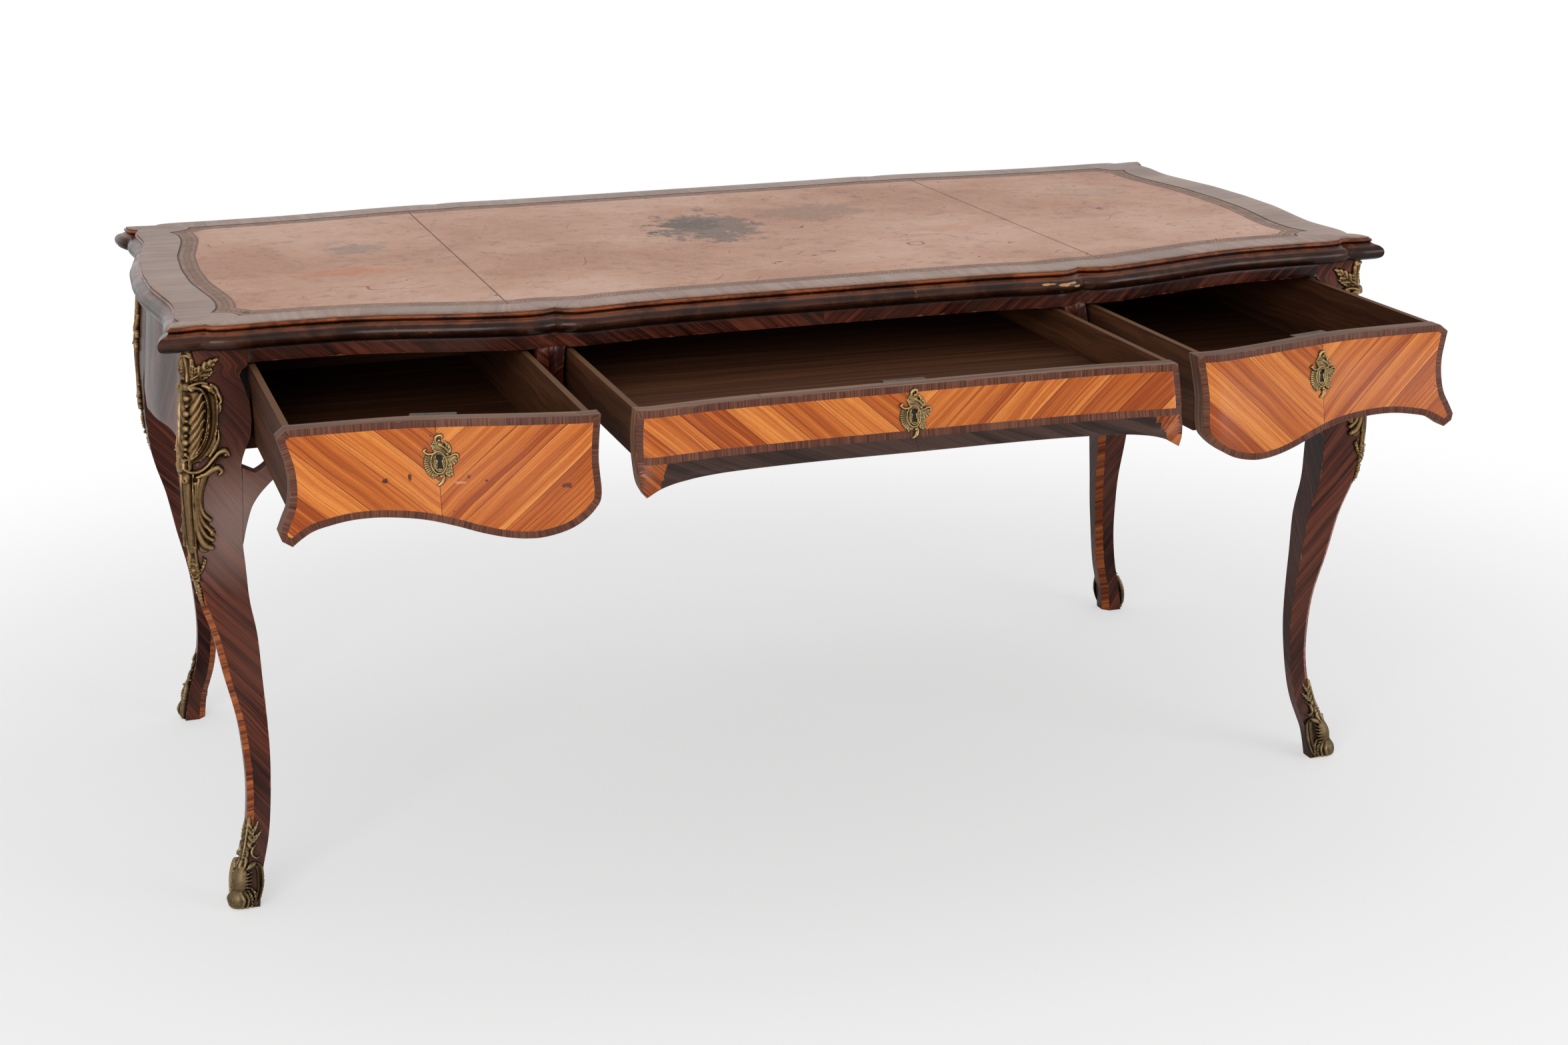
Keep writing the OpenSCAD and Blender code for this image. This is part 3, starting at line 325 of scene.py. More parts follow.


# %% [markdown]
# ## The polished moulding
# The moulding round the top is one solid wood stained nearly black, but hands have rubbed its upper bead back to
# orange. The quirk under the bead is painted nearly black as painted shade, and the hollow is a lighter brown. All that
# goes by the place on the section, which is what the first number of its grain map holds, in metres from the bead's
# inner edge.

# %% Moulding finish
# Raw wood where the right cusp of the front was chipped: the place and half sizes of each chip, in metres.
MOULDING_CHIPS = [
    ((0.305, -0.267, 0.7645), (0.012, 0.02, 0.0016)),
    ((0.326, -0.269, 0.7625), (0.011, 0.02, 0.0022)),
    ((0.338, -0.267, 0.7640), (0.007, 0.02, 0.0018)),
    ((0.346, -0.266, 0.7595), (0.006, 0.02, 0.0016)),
]


def moulding_finish():
    """Stained and polished wood, striped by the place on the moulding's section."""
    material, add = blank(bpy.data.materials.new("stained_moulding_polished"))
    place = add("TexCoord", out="Object")
    across, along = grain_of(add, None)[:2]
    streaks = add("CombineXYZ", (add("Math.DIVIDE", (across, 1.6 * MM)), add("Math.DIVIDE", (along, 90 * MM)), 0.0))
    streaks = add("TexNoise", Vector=streaks, Scale=1.0, Detail=5.0, Roughness=0.65)
    ragged = add("TexNoise", Vector=place, Scale=90.0, Detail=4.0)
    # The section from the bead to the lip's underside becomes a number from 0 to 1, which the ramp colours
    level = add("Math.MULTIPLY_ADD", (ragged, 2.4 * MM, across))
    level = add("MapRange", (level, 9.2 * MM, 42 * MM, 0.0, 1.0))
    # The stop at 0.19, nearly black, is painted shade in the quirk under the bead
    base = add("ValToRGB", (level,), stops=(
        (0.0, "#94532e"), (0.12, "#8a4320"), (0.19, "#150905"), (0.27, "#2b130a"), (0.34, "#7a3f20"),
        (0.52, "#64331d"), (0.6, "#2f170e"), (0.8, "#4a291b"), (1.0, "#22110a")))
    patchy = add("TexNoise", Vector=place, Scale=17.0, Detail=6.0, Roughness=0.7)
    for cloud, stops in ((streaks, ((0.35, 0.55), (0.65, 1.35))), (patchy, ((0.44, 1.0), (0.56, 0.42)))):
        shadow = add("ValToRGB", (cloud,), stops=stops)
        base = add("Mix", {0: 1.0, 6: base, 7: shadow}, out=2, data_type="RGBA", blend_type="MULTIPLY")
    for centre, reach in MOULDING_CHIPS:
        base = blotch(add, place, base, ragged, (centre, reach, "#bd8f63", 0.9))
    knocks = add("TexNoise", Vector=place, Scale=46.0, Detail=7.0, Roughness=0.7)
    knocks = add("ValToRGB", (knocks,), stops=((0.66, 0.0), (0.7, 0.7)))
    base = add("Mix", {0: knocks, 6: base, 7: "#95603f"}, out=2, data_type="RGBA")
    cloudy = add("TexNoise", Vector=place, Scale=30.0, Detail=4.0)
    dull = add("MapRange", (cloudy, 0.3, 0.7, 0.13, 0.34))
    relief = add("Math.MULTIPLY_ADD", (knocks, -2.0, streaks))
    surface(add, relief, 0.12, Base_Color=base, Roughness=dull, Specular_IOR_Level=0.14, Coat_Weight=0.12,
            Coat_Roughness=0.12)
    return material


moulding_wood = moulding_finish()

# %% [markdown]
# ## Leather and metals
# The leather is vegetable tanned sheepskin, pared thin and pasted down. It has faded to a pinkish tan, and
# its middle is rubbed grey. A tooled band runs inside its edge: a heated wheel pressed a small running scroll
# over and over, so the band repeats every eleven millimetres along the outline.
# The mounts are cast bronze that was chased and gilded with mercury. The gold is worn to a brown skin with
# bright touches on what stands proud and soot in what lies deep, so the colour follows the height of the
# casting, which each bronze carries as a number named proud on its points.

# %% Leather
top_z = cad_box[1][2]
# Stains of the top: place and half sizes in metres, shade and strength. A stain goes right through the skin.
LEATHER_STAINS = [((x, y, top_z), (wide, deep, 1.0), shade, share) for x, y, wide, deep, shade, share in (
    (-0.02, 0.245, 0.085, 0.12, "#78685e", 0.9),
    (-0.05, 0.27, 0.05, 0.05, "#5f534c", 0.7),
    (0.16, 0.30, 0.10, 0.07, "#8d7666", 0.5),
    (-0.535, 0.25, 0.05, 0.04, "#8c7b70", 0.6),
    (-0.57, 0.09, 0.07, 0.03, "#c4774e", 0.5),
    (0.30, 0.10, 0.05, 0.03, "#c08560", 0.35),
    (-0.107, 0.225, 0.009, 0.006, "#4a3a30", 0.9),
    (0.62, 0.32, 0.06, 0.05, "#a78874", 0.4))]
TOOLING_WIDE = 26 * MM
TOOLING_REPEAT = 11 * MM


def leather_finish():
    """Faded, stained and scratched sheepskin, with its tooled band and the dirt along its edges."""
    material, add = blank(bpy.data.materials.new("pared_sheepskin"))
    place = add("TexCoord", out="Object")
    edge = add("SeparateXYZ", (add("UVMap", uv_map="edge"),)).node.outputs
    # The grain map of a skin holds how far its own edge is, so its butted seams can be darkened
    own = add("SeparateXYZ", (add("UVMap", uv_map="grain"),)).node.outputs[0]
    # Clouds from broad to fine: fading, blush, mottling, tears, scars
    cloud, blush, mottle, torn, scars = [
        add("TexNoise", Vector=place, Scale=scale, Detail=detail, Roughness=rough, Distortion=bent)
        for scale, detail, rough, bent in ((3.5, 5, 0.6, 0), (9, 6, 0.65, 0), (42, 7, 0.72, 0), (26, 8, 0.78, 0),
                                           (38, 8, 0.75, 1.5))]
    base = add("ValToRGB", (cloud,), stops=((0.38, "#b98b75"), (0.5, "#c89c86"), (0.62, "#d4ac98")))
    blush = add("ValToRGB", (blush,), stops=((0.45, 0.0), (0.75, 0.35)))
    base = add("Mix", {0: blush, 6: base, 7: "#c08767"}, out=2, data_type="RGBA")
    mottle = add("ValToRGB", (mottle,), stops=((0.34, 0.74), (0.46, 0.97), (0.64, 1.0)))
    base = add("Mix", {0: 1.0, 6: base, 7: mottle}, out=2, data_type="RGBA", blend_type="MULTIPLY")
    for spot in LEATHER_STAINS:
        base = blotch(add, place, base, torn, spot, torn_by=4.0)
    # Dirt along a line is torn too: dark up to about a millimetre from it, and gone two further out
    seam, gap = [
        add("MapRange", (add("Math.MULTIPLY_ADD", (torn, reach * MM, line)), near * MM, far * MM, share, 0.0))
        for line, reach, near, far, share in ((own, 1.6, 1.5, 2.4, 0.75), (edge[1], 1.5, 2.2, 3.2, 0.9))]
    scars = add("ValToRGB", (scars,), stops=((0.61, 0.0), (0.66, 0.5)))
    coats = [(seam, "#4d3529"), (scars, "#7a4a36")]
    # Scratches a millimetre and a half wide: level lines of a noise, kept only here and there
    for scale, half, here, shade in ((5.0, 0.0018, 0.56, "#93442c"), (12.0, 0.0035, 0.6, "#5f4034")):
        lines = add("TexNoise", Vector=place, Scale=scale, Detail=2.0)
        lines = add("Math.COMPARE", (lines, NOISE_MEAN, half))
        where = add("TexNoise", Vector=place, Scale=scale * 2.3, Detail=2.0)
        where = add("MapRange", (where, here, here + 0.04, 0.0, 0.8))
        coats.append((add("Math.MULTIPLY", (lines, where)), shade))
    # The tooled band: a running scroll and its mirrored bead line between two rules
    turns = add("Math.MULTIPLY", (edge[0], 2 * math.pi / TOOLING_REPEAT))
    wave = add("Math.SINE", (turns,))
    middle = add("Math.SUBTRACT", (edge[1], TOOLING_WIDE / 2))
    tool = add("Math.COMPARE", (add("Math.ABSOLUTE", (middle,)), 10.5 * MM, 0.7 * MM))
    for swing, half in ((-4.5, 1.3), (4.5, 0.8)):
        line = add("Math.MULTIPLY_ADD", (wave, swing * MM, middle))
        line = add("Math.COMPARE", (line, 0.0, half * MM))
        tool = add("Math.MAXIMUM", (tool, line))
    band = add("Math.LESS_THAN", (edge[1], TOOLING_WIDE))
    tool = add("Math.MULTIPLY", (tool, band))
    tool = add("Math.MULTIPLY", (tool, add("MapRange", (torn, 0.35, 0.65, 0.35, 0.9))))
    band = add("Math.MULTIPLY", (band, add("MapRange", (torn, 0.34, 0.64, 1.0, 0.45))))
    # Dirt in the gap between the skins and the wood comes last
    for share, shade in coats + [(band, "#7b6151"), (tool, "#4a3428"), (gap, "#33221a")]:
        base = add("Mix", {0: share, 6: base, 7: shade}, out=2, data_type="RGBA")
    fine = add("TexNoise", Vector=place, Scale=180.0, Detail=4.0)
    skin = add("TexVoronoi", Vector=place, Scale=900.0, out="Distance", feature="DISTANCE_TO_EDGE")
    relief = fine
    for height, depth in ((skin, 0.4), (tool, -1.5), (scars, -0.8)):
        relief = add("Math.MULTIPLY_ADD", (height, depth, relief))
    dull = add("MapRange", (fine, 0.3, 0.7, 0.4, 0.6))
    surface(add, relief, 0.25, Base_Color=base, Roughness=dull, Specular_IOR_Level=0.1)
    return material


leather = leather_finish()


# %% Bronze, brass and steel
def cast_metal(name, deep, skin, bright, rough):
    """A metal whose colour runs from soot in the hollows to bright on what stands proud."""
    material, add = blank(bpy.data.materials.new(name))
    place = add("TexCoord", out="Object")
    proud = add("Attribute", out="Fac", attribute_name="proud")
    pitted = add("TexNoise", Vector=place, Scale=260.0, Detail=5.0, Roughness=0.6)
    height = add("Math.MULTIPLY_ADD", (pitted, 0.4, proud))
    base = add("ValToRGB", (height,), stops=((0.15, deep), (0.5, skin), (1.0, bright)))
    grime = add("TexNoise", Vector=place, Scale=55.0, Detail=4.0)
    grime = add("ValToRGB", (grime,), stops=((0.5, 0.0), (0.72, 0.4)))
    base = add("Mix", {0: grime, 6: base, 7: deep}, out=2, data_type="RGBA")
    dull = add("Math.MULTIPLY_ADD", (pitted, 0.25, rough))
    filed = add("TexNoise", Vector=place, Scale=900.0, Detail=3.0)
    relief = add("Math.ADD", (pitted, filed))
    surface(add, relief, 0.12, Base_Color=base, Roughness=dull, Metallic=1.0)
    return material


gilt_bronze = cast_metal("cast_bronze_worn_gilding", "#120a05", "#4b3722", "#9b7e58", 0.36)
foot_bronze = cast_metal("cast_bronze_dulled", "#120d08", "#4a3b29", "#94805f", 0.42)
plate_bronze = cast_metal("chased_bronze_lock_plates", "#191108", "#635033", "#b49c70", 0.33)
pin_brass = cast_metal("turned_brass_pins", "#6b4f28", "#b98f4a", "#e6c27e", 0.15)
lock_brass = cast_metal("lock_brass_aged", "#3b2d1a", "#75603a", "#a98c58", 0.35)
lock_steel = cast_metal("lock_steel_filed", "#2b2927", "#615e5a", "#8f8c88", 0.3)
print("metals and leather made")

# %% [markdown]
# ## Reading the frame
# The frame's solids have few facets. To give the visible faces their smooth curves, their own corner points
# are read back and curves are drawn through them, so that nothing is guessed and every edge stays where the
# frame has it.

# %% Lengths and ways
def lengths(rows):
    """The length of each vector, never quite nought."""
    return np.maximum(np.linalg.norm(rows, axis=-1), 1e-12)


def unit(rows):
    """Each vector at length one."""
    return rows / lengths(rows)[..., None]


def travelled(line):
    """How far along a line each of its points lies."""
    return np.concatenate([[0], np.cumsum(np.linalg.norm(np.diff(line, axis=0), axis=-1))])


# %% Points and outlines of a solid
def corners(*names):
    """The separate corner points of some solids."""
    found = [np.array([v.co for v in nodes[n].data.vertices]) for n in names]
    return np.unique(np.vstack(found).round(6), axis=0)


def outlines(name, towards):
    """The closed outlines of those faces of a solid that look towards a direction."""
    bm = bmesh.new()
    bm.from_mesh(nodes[name].data)
    bmesh.ops.remove_doubles(bm, verts=bm.verts, dist=2e-6)
    chosen = {f.index for f in bm.faces if f.normal.dot(Vector(towards)) > 0.3}
    bm.faces.ensure_lookup_table()
    rim = {}
    for e in bm.edges:
        if sum(f.index in chosen for f in e.link_faces) == 1:
            a, b = e.verts
            rim.setdefault(a.index, []).append(b.index)
            rim.setdefault(b.index, []).append(a.index)
    places = {v.index: np.array(v.co) for v in bm.verts}
    bm.free()
    loops = []
    while rim:
        start = next(iter(rim))
        walk, last = [start], None
        while True:
            onward = [k for k in rim[walk[-1]] if k != last and k not in walk[1:]]
            last = walk[-1]
            if not onward or onward[0] == start:
                break
            walk.append(onward[0])
        for k in walk:
            rim.pop(k, None)
        if len(walk) > 2:
            loops.append(np.array([places[k] for k in walk]))
    return loops


# %% Curves through points
def curved(points, spacing, closed=True, sharp=38, guide=None, fixed=None):
    """A row of points refined along a smooth curve. Corners stay, and a guide row sets them and the steps."""
    p = np.asarray(points, float)
    n = len(p)
    q = p if guide is None else np.asarray(guide, float)
    step, led = [np.roll(row, -1, 0) - row for row in (p, q)]
    straight, length, way = unit(step), lengths(step), unit(led)
    turn = (way * np.roll(way, 1, 0)).sum(1)
    corner = turn < math.cos(math.radians(sharp)) if fixed is None else np.isin(np.arange(n), fixed)
    if not closed:
        corner[[0, -1]] = True
    share = (length / (length + np.roll(length, 1)))[:, None]
    tangent = np.roll(straight, 1, 0) * share + straight * (1 - share)
    made = []
    for i in range(n if closed else n - 1):
        j = (i + 1) % n
        a = straight[i] if corner[i] else tangent[i]
        b = straight[i] if corner[j] else tangent[j]
        steps = max(1, round(lengths(led)[i] / spacing))
        for t in np.arange(steps) / steps:
            made.append(p[i] * (1 + 2 * t) * (1 - t) ** 2 + a * length[i] * t * (1 - t) ** 2
                        + p[j] * t * t * (3 - 2 * t) + b * length[i] * t * t * (t - 1))
    if not closed:
        made.append(p[-1])
    return np.array(made)


def along_line(points):
    """A smooth function through (place, value) points."""
    p = np.array(sorted(map(tuple, points)))
    dense = curved(p, 0.004, closed=False, sharp=80)
    return lambda x: np.interp(x, dense[:, 0], dense[:, 1])


# %% [markdown]
# ## Plates
# Most pieces of the carcass are plates: an outline in one plane, bent out of it by the serpentine and the
# swell of the carcass. A fine net of triangles fills the outline, with rows of points kept parallel to its
# edge, so the crossbanding ends on a clean line and the arris can be rounded by under a millimetre.

# %% Distances in a plane
def signed_area(loop):
    """Area of a loop in a plane, above nought when it runs anticlockwise."""
    a, b = loop, np.roll(loop, -1, 0)
    return (a[:, 0] * b[:, 1] - b[:, 0] * a[:, 1]).sum() / 2


def measured(points, loop):
    """How far points lie from a closed loop, and how far along the loop their nearest place is."""
    a = loop
    step = np.roll(loop, -1, 0) - a
    length = lengths(step)
    start = np.concatenate([[0], np.cumsum(length)[:-1]])
    away, run = np.empty(len(points)), np.empty(len(points))
    for i in range(0, len(points), 1500):
        p = points[i:i + 1500, None, :]
        t = np.clip(((p - a) * step).sum(2) / length ** 2, 0, 1)
        d = np.linalg.norm(a + t[..., None] * step - p, axis=2)
        k = d.argmin(1)
        rows = np.arange(len(k))
        away[i:i + 1500] = d[rows, k]
        run[i:i + 1500] = start[k] + t[rows, k] * length[k]
    return away, run


def within(points, loop):
    """Which points lie inside a closed loop."""
    inside = np.zeros(len(points), bool)
    for a, b in zip(loop, np.roll(loop, -1, 0)):
        if a[1] != b[1]:
            level = (points[:, 1] > a[1]) != (points[:, 1] > b[1])
            inside ^= level & (points[:, 0] < a[0] + (points[:, 1] - a[1]) / (b[1] - a[1]) * (b[0] - a[0]))
    return inside


def inset(loop, distance):
    """A loop moved inwards, without the places where it would fold over itself."""
    step = unit(np.roll(loop, -1, 0) - loop)
    both = step + np.roll(step, 1, 0)
    normal = unit(np.stack([-both[:, 1], both[:, 0]], 1))
    stretch = np.maximum(0.45, np.abs(normal[:, 1] * step[:, 0] - normal[:, 0] * step[:, 1]))
    moved = loop + normal * (distance / stretch)[:, None]
    return moved[(measured(moved, loop)[0] > distance * 0.97) & within(moved, loop)]


# %% Nets of triangles
def net(loops, seams, loose):
    """Triangles between closed loops, open seams and loose points."""
    points, edges = [], []
    for line, closed in [(l, True) for l in loops] + [(s, False) for s in seams]:
        first = len(points)
        points += [Vector(p) for p in line]
        edges += [(first + i, first + i + 1) for i in range(len(line) - 1)]
        if closed:
            edges.append((len(points) - 1, first))
    points += [Vector(p) for p in loose]
    made = geometry.delaunay_2d_cdt(points, edges, [], 1, 1e-7)
    return np.array([tuple(p) for p in made[0]]), np.array(made[2])


def filling(loop, spacing, clear):
    """Loose points in staggered rows inside a loop, clear of its edge."""
    low, high = loop.min(0), loop.max(0)
    rows = np.arange(low[1], high[1], spacing * 0.87)
    grid = np.array([(x + (i % 2) * spacing / 2, y) for i, y in enumerate(rows)
                     for x in np.arange(low[0], high[0], spacing)])
    grid = grid[within(grid, loop)]
    return grid[measured(grid, loop)[0] > clear]


def closed_sheet(front, back, faces):
    """Joins a front and a back sheet with the same faces by walls. Gives points, fronts, backs and walls."""
    count = len(front)
    fronts = [tuple(f) for f in faces]
    backs = [tuple(i + count for i in f[::-1]) for f in fronts]
    sides = dict.fromkeys(pair for f in fronts for pair in zip(f, f[1:] + f[:1]))
    walls = [(j, i, i + count, j + count) for i, j in sides if (j, i) not in sides]
    return np.vstack([front, back]), fronts, backs, walls


def new_piece(name, points, faces, materials, body, stands_for, clipped=True):
    """A mesh object that rides on a body and stands for a solid. Clipped, it stays inside that solid's box."""
    mesh = bpy.data.meshes.new(name)
    if stands_for and clipped:
        points = np.clip(points, *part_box(stands_for))
    mesh.from_pydata([tuple(p) for p in points], [], [tuple(int(i) for i in f) for f in faces])
    piece = bpy.data.objects.new(name, mesh)
    scene.collection.objects.link(piece)
    for material in materials:
        mesh.materials.append(material)
    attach(piece, body)
    if stands_for:
        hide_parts(stands_for)
    return piece


def smooth(piece, angle=40):
    """Smooth shading that stays crisp over edges sharper than an angle."""
    mesh = piece.data
    mesh.shade_smooth()
    mesh.set_sharp_from_angle(angle=math.radians(angle))


def set_map(mesh, name, values):
    """A map with one pair of numbers for each corner of each face."""
    layer = mesh.uv_layers.new(name=name)
    layer.data.foreach_set("uv", np.asarray(values, np.float32).ravel())


# %% The plate itself
BACK_EDGE = 0.1
WALL_EDGE = 0.004


def plate(name, loop, front, back, materials, zone, grain, body, stands_for, slot, seams=(), rings=(),
          spacing=0.007, soft=0.8 * MM, holes=(), edge_loop=None, joint_at=None, clipped=True):
    """A bent board. front and back turn points of its plane into places; zone and grain serve each face.

    The last material is for the back and the one before it for the walls. soft is the radius of the arris.
    """
    loop = loop if signed_area(loop) > 0 else loop[::-1]
    rows = [inset(loop, d) for d in (soft * 0.3, soft, *rings)]
    clear = max([soft, *rings]) + spacing * 0.4
    flat, faces = net([loop, *holes, *[r for r in rows if len(r) > 2]], seams, filling(loop, spacing, clear))
    middles = flat[faces].mean(1)
    keep = within(middles, loop)
    for hole in holes:
        keep &= ~within(middles, hole)
    faces, middles = faces[keep], middles[keep]
    a, b, c = flat[faces].transpose(1, 0, 2)
    turned = (b[:, 0] - a[:, 0]) * (c[:, 1] - a[:, 1]) - (b[:, 1] - a[:, 1]) * (c[:, 0] - a[:, 0]) < 0
    faces[turned] = faces[turned][:, ::-1]
    away, run = measured(flat, loop)
    shown, hidden = front(flat), back(flat)
    inwards = unit(hidden - shown)
    lean = np.clip(1 - away / soft, 0, 1)
    shown = shown + inwards * (soft * (1 - np.sqrt(1 - lean ** 2)))[:, None]
    out = shown[faces[0]]
    if np.cross(out[1] - out[0], out[2] - out[0]) @ inwards[faces[0][0]] > 0:
        faces = faces[:, ::-1]
    points, fronts, backs, walls = closed_sheet(shown, hidden, faces)
    piece = new_piece(name, points, fronts + backs + walls, materials, body, stands_for, clipped)
    zones = [zone(m, d) for m, d in zip(middles, measured(middles, loop)[0])]
    last = len(materials) - 1
    piece.data.polygons.foreach_set("material_index", zones + [last] * len(backs) + [last - 1] * len(walls))
    edge_away, edge_run = measured(flat, edge_loop) if edge_loop is not None else (away, run)
    if joint_at is not None:
        edge_run = np.abs(flat[:, 0] - joint_at)
    count = len(flat)
    maps = {"grain": [], "edge": []}
    for f, m, z in zip(fronts, middles, zones):
        maps["grain"] += [grain(flat[i], m, z, run[i], away[i]) for i in f]
        maps["edge"] += [(edge_run[i], edge_away[i]) for i in f]
    for f in backs:
        maps["grain"] += [flat[i - count][::-1] for i in f]
        maps["edge"] += [(run[i - count], BACK_EDGE) for i in f]
    for f in walls:
        deep = np.linalg.norm(hidden[f[0]] - shown[f[0]])
        maps["grain"] += [(0.0 if i < count else deep, run[i % count]) for i in f]
        maps["edge"] += [(run[i % count], WALL_EDGE) for i in f]
    for key, values in maps.items():
        set_map(piece.data, key, values)
    smooth(piece)


def one_finish(middle, away):
    """The zone of a plate that is veneered all over alike."""
    return 0


def upright_seam(x, low, high, count):
    """A straight line up a plate, for a joint between two leaves."""
    return np.stack([np.full(count, x), np.linspace(low, high, count)], 1)


# %% [markdown]
# ## Lines of the carcass
# The front swells out twice, at the middle of the side drawers less than at the middle drawer, and every
# upright of it also swells from the frieze down to the knees. One curve along the front and one ease down
# the height make the whole face.

# %% Faces of the carcass
PARTS = ("left", "centre", "right")
legs = ["leg_front_left", "leg_front_right", "leg_back_left", "leg_back_right"]
middle_y = (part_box("leg_front_left")[0].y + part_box("leg_back_left")[1].y) / 2
frieze_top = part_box("side_panel_right")[1].z
FRONT_BOMBE = 19 * MM
SIDE_BOMBE = 14 * MM
BOMBE_HEIGHT = 180 * MM


def eased(t):
    """Rises smoothly from 0 to 1."""
    t = np.clip(t, 0, 1)
    return t * t * (3 - 2 * t)


def bombe(z):
    """Share of the swell that the carcass has at a height."""
    return eased((frieze_top - z) / BOMBE_HEIGHT - 0.05)


def top_line(faces, above, x=0, y=1):
    """How one number of a place follows another along the upper edges of some faces."""
    return along_line({(round(p[x], 5), round(p[y], 5)) for face in faces for p in face if p[2] > above})


rail_face = outlines("front_rail", (0, -1, 0))[0]
front_at = top_line([rail_face], rail_face[:, 2].mean())
back_faces = [outlines("sham_front_" + part, (0, 1, 0))[0] for part in PARTS]
back_at = top_line(back_faces, frieze_top - 0.5 * MM)
side_at = top_line([outlines("side_panel_right", (1, 0, 0))[0]], frieze_top - 0.5 * MM, 1, 0)
opened = {j["child"]: -j["range_m"][0] for j in frame["joints"] if j["name"].endswith("drawer_slide")}
print("front stands at", round(float(front_at(0)), 4), "side at", round(float(side_at(middle_y)), 4), opened)

# %% [markdown]
# ## Drawer fronts
# Each front is one thick board, veneered in tulipwood laid as a chevron: two mirrored halves whose grain
# falls towards a joint in the middle. A crossband as wide as a little finger frames it. Under the middle
# drawer the frame's lower edge carries a dark apron that flares out. The grain map is turned by the lay of
# each half, so the stripes meet at the joint.

# %% Drawer fronts
BAND = 8.5 * MM
LAY = math.radians(42)
OTHER_LEAF = 7
FRONT_THICK = 24 * MM
EAR_WIDE = 36 * MM
APRON_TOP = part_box("centre_bottom")[0].z - 9 * MM
APRON_FLARE = 9 * MM
PAST = 0.01


def chevron(point, middle, x_joint):
    """Across and along the grain, falling towards the joint from both sides."""
    side = 1 if middle[0] > x_joint else -1
    x, z = (point[0] - x_joint) * side, point[1]
    across = -x * math.sin(LAY) + z * math.cos(LAY)
    along = x * math.cos(LAY) + z * math.sin(LAY)
    return across + OTHER_LEAF * side, along


def apron_flare(p):
    """The apron stands further out from its top downwards, less so near the ends."""
    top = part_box("centre_side_left")[0].z
    return APRON_FLARE * eased((top - p[:, 1]) / 0.016) * (1 - 0.7 * eased((np.abs(p[:, 0]) - 0.29) / 0.05))


def front_piece(name, drawer, at_front, sign, shift, wide):
    """A veneered front on the front (sign -1) or the back (sign 1) of the carcass. The wide one has an apron."""
    loop = curved(outlines(name, (0, sign, 0))[0][:, [0, 2]], 0.0035)
    left, low = loop.min(0)
    right, high = loop.max(0)
    x_joint = (left + right) / 2

    def face(p, extra):
        y = at_front(p[:, 0]) + sign * (FRONT_BOMBE * bombe(p[:, 1]) + extra) + shift
        return np.stack([p[:, 0], y, p[:, 1]], 1)

    def shown(p):
        return face(p, apron_flare(p) if wide else 0.0)

    def hidden(p):
        made = face(p, -FRONT_THICK)
        if sign > 0:
            made[:, 1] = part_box(name)[0].y
        return made

    seams = [upright_seam(x_joint, low - PAST, high + PAST, 30)]
    for z in (APRON_TOP, APRON_TOP + BAND) if wide else ():
        seams.append(upright_seam(z, left - PAST, right + PAST, 160)[:, ::-1])

    def zone(middle, away):
        if wide and middle[1] < APRON_TOP:
            end = min(middle[0] - left, right - middle[0])
            if end < 0.7 * BAND:
                return 1
            return 3 if end < EAR_WIDE - (APRON_TOP - middle[1]) * 0.5 else 2
        return 1 if away < BAND or (wide and middle[1] < APRON_TOP + BAND) else 0

    def grain(point, middle, z, run, away):
        if z == 1:
            return (run, away) if away < BAND * 1.2 else (point[0], point[1])
        if z == 2:
            return point[1] * 0.9 + point[0] * 0.35, point[0]
        return chevron(point, middle, x_joint)

    materials = [tulipwood, crossband, apron_wood_painted_sheen, slip_wood, edge_wood, oak_edges]
    plate(name + "_veneered", loop, shown, hidden, materials, zone, grain, drawer, name, "tulipwood", seams, (BAND,),
          joint_at=x_joint)


for part in PARTS:
    drawer = part + "_drawer"
    front_piece(part + "_front", drawer, front_at, -1, -opened[drawer], part == "centre")
    front_piece("sham_front_" + part, "carcass", back_at, 1, 0.0, part == "centre")
print("six fronts veneered")

# %% [markdown]
# ## Rail, posts, side panels and knee blocks
# These are veneered with the dark violet wood, its grain laid on the slant. They are plates too, bent by the
# same lines.

# %% Dark plates
def on_front(p, deep=0.0):
    """Places on the front of the carcass for points (x, z), or behind it."""
    return np.stack([p[:, 0], front_at(p[:, 0]) - FRONT_BOMBE * bombe(p[:, 1]) + deep, p[:, 1]], 1)


def on_back(p, deep=0.0):
    """Places on the back of the carcass for points (x, z), or inside it."""
    return np.stack([p[:, 0], back_at(p[:, 0]) + FRONT_BOMBE * bombe(p[:, 1]) - deep, p[:, 1]], 1)


def slanted(angle, mirror_at=None):
    """A grain laid at an angle, mirrored at a joint if there is one."""
    sin, cos = math.sin(math.radians(angle)), math.cos(math.radians(angle))

    def grain(point, middle, z, run, away):
        side = 1 if mirror_at is None or middle[0] > mirror_at else -1
        x = (point[0] - (mirror_at or 0.0)) * side
        return point[1] * cos - x * sin + side, x * cos + point[1] * sin

    return grain


def dark_plate(name, loop, place, thick, grain, stands_for, seams=(), joint_at=None, spacing=0.007, clipped=False):
    """A plate veneered all over with the dark wood, standing for one solid of the carcass."""
    plate(name, loop, place, lambda p: place(p, thick), [rosewood, rosewood, oak_edges], one_finish, grain,
          "carcass", stands_for, "rosewood", seams, spacing=spacing, joint_at=joint_at, clipped=clipped)


rail_loop = curved(rail_face[:, [0, 2]], 0.006)
dark_plate("front_rail_veneered", rail_loop, on_front, 0.035, slanted(38, 0.0), "front_rail",
           [upright_seam(0, 0.72, 0.76, 2)])
for side in ("left", "right"):
    loop = curved(outlines("stile_" + side, (0, -1, 0))[0][:, [0, 2]], 0.003)
    low, high = loop.min(0), loop.max(0)
    joint = (low[0] + high[0]) / 2
    dark_plate(f"stile_{side}_veneered", loop, on_front, 0.038, slanted(40, joint), "stile_" + side,
               [upright_seam(joint, low[1] - PAST, high[1] + PAST, 25)], joint)
print("rail and posts veneered")

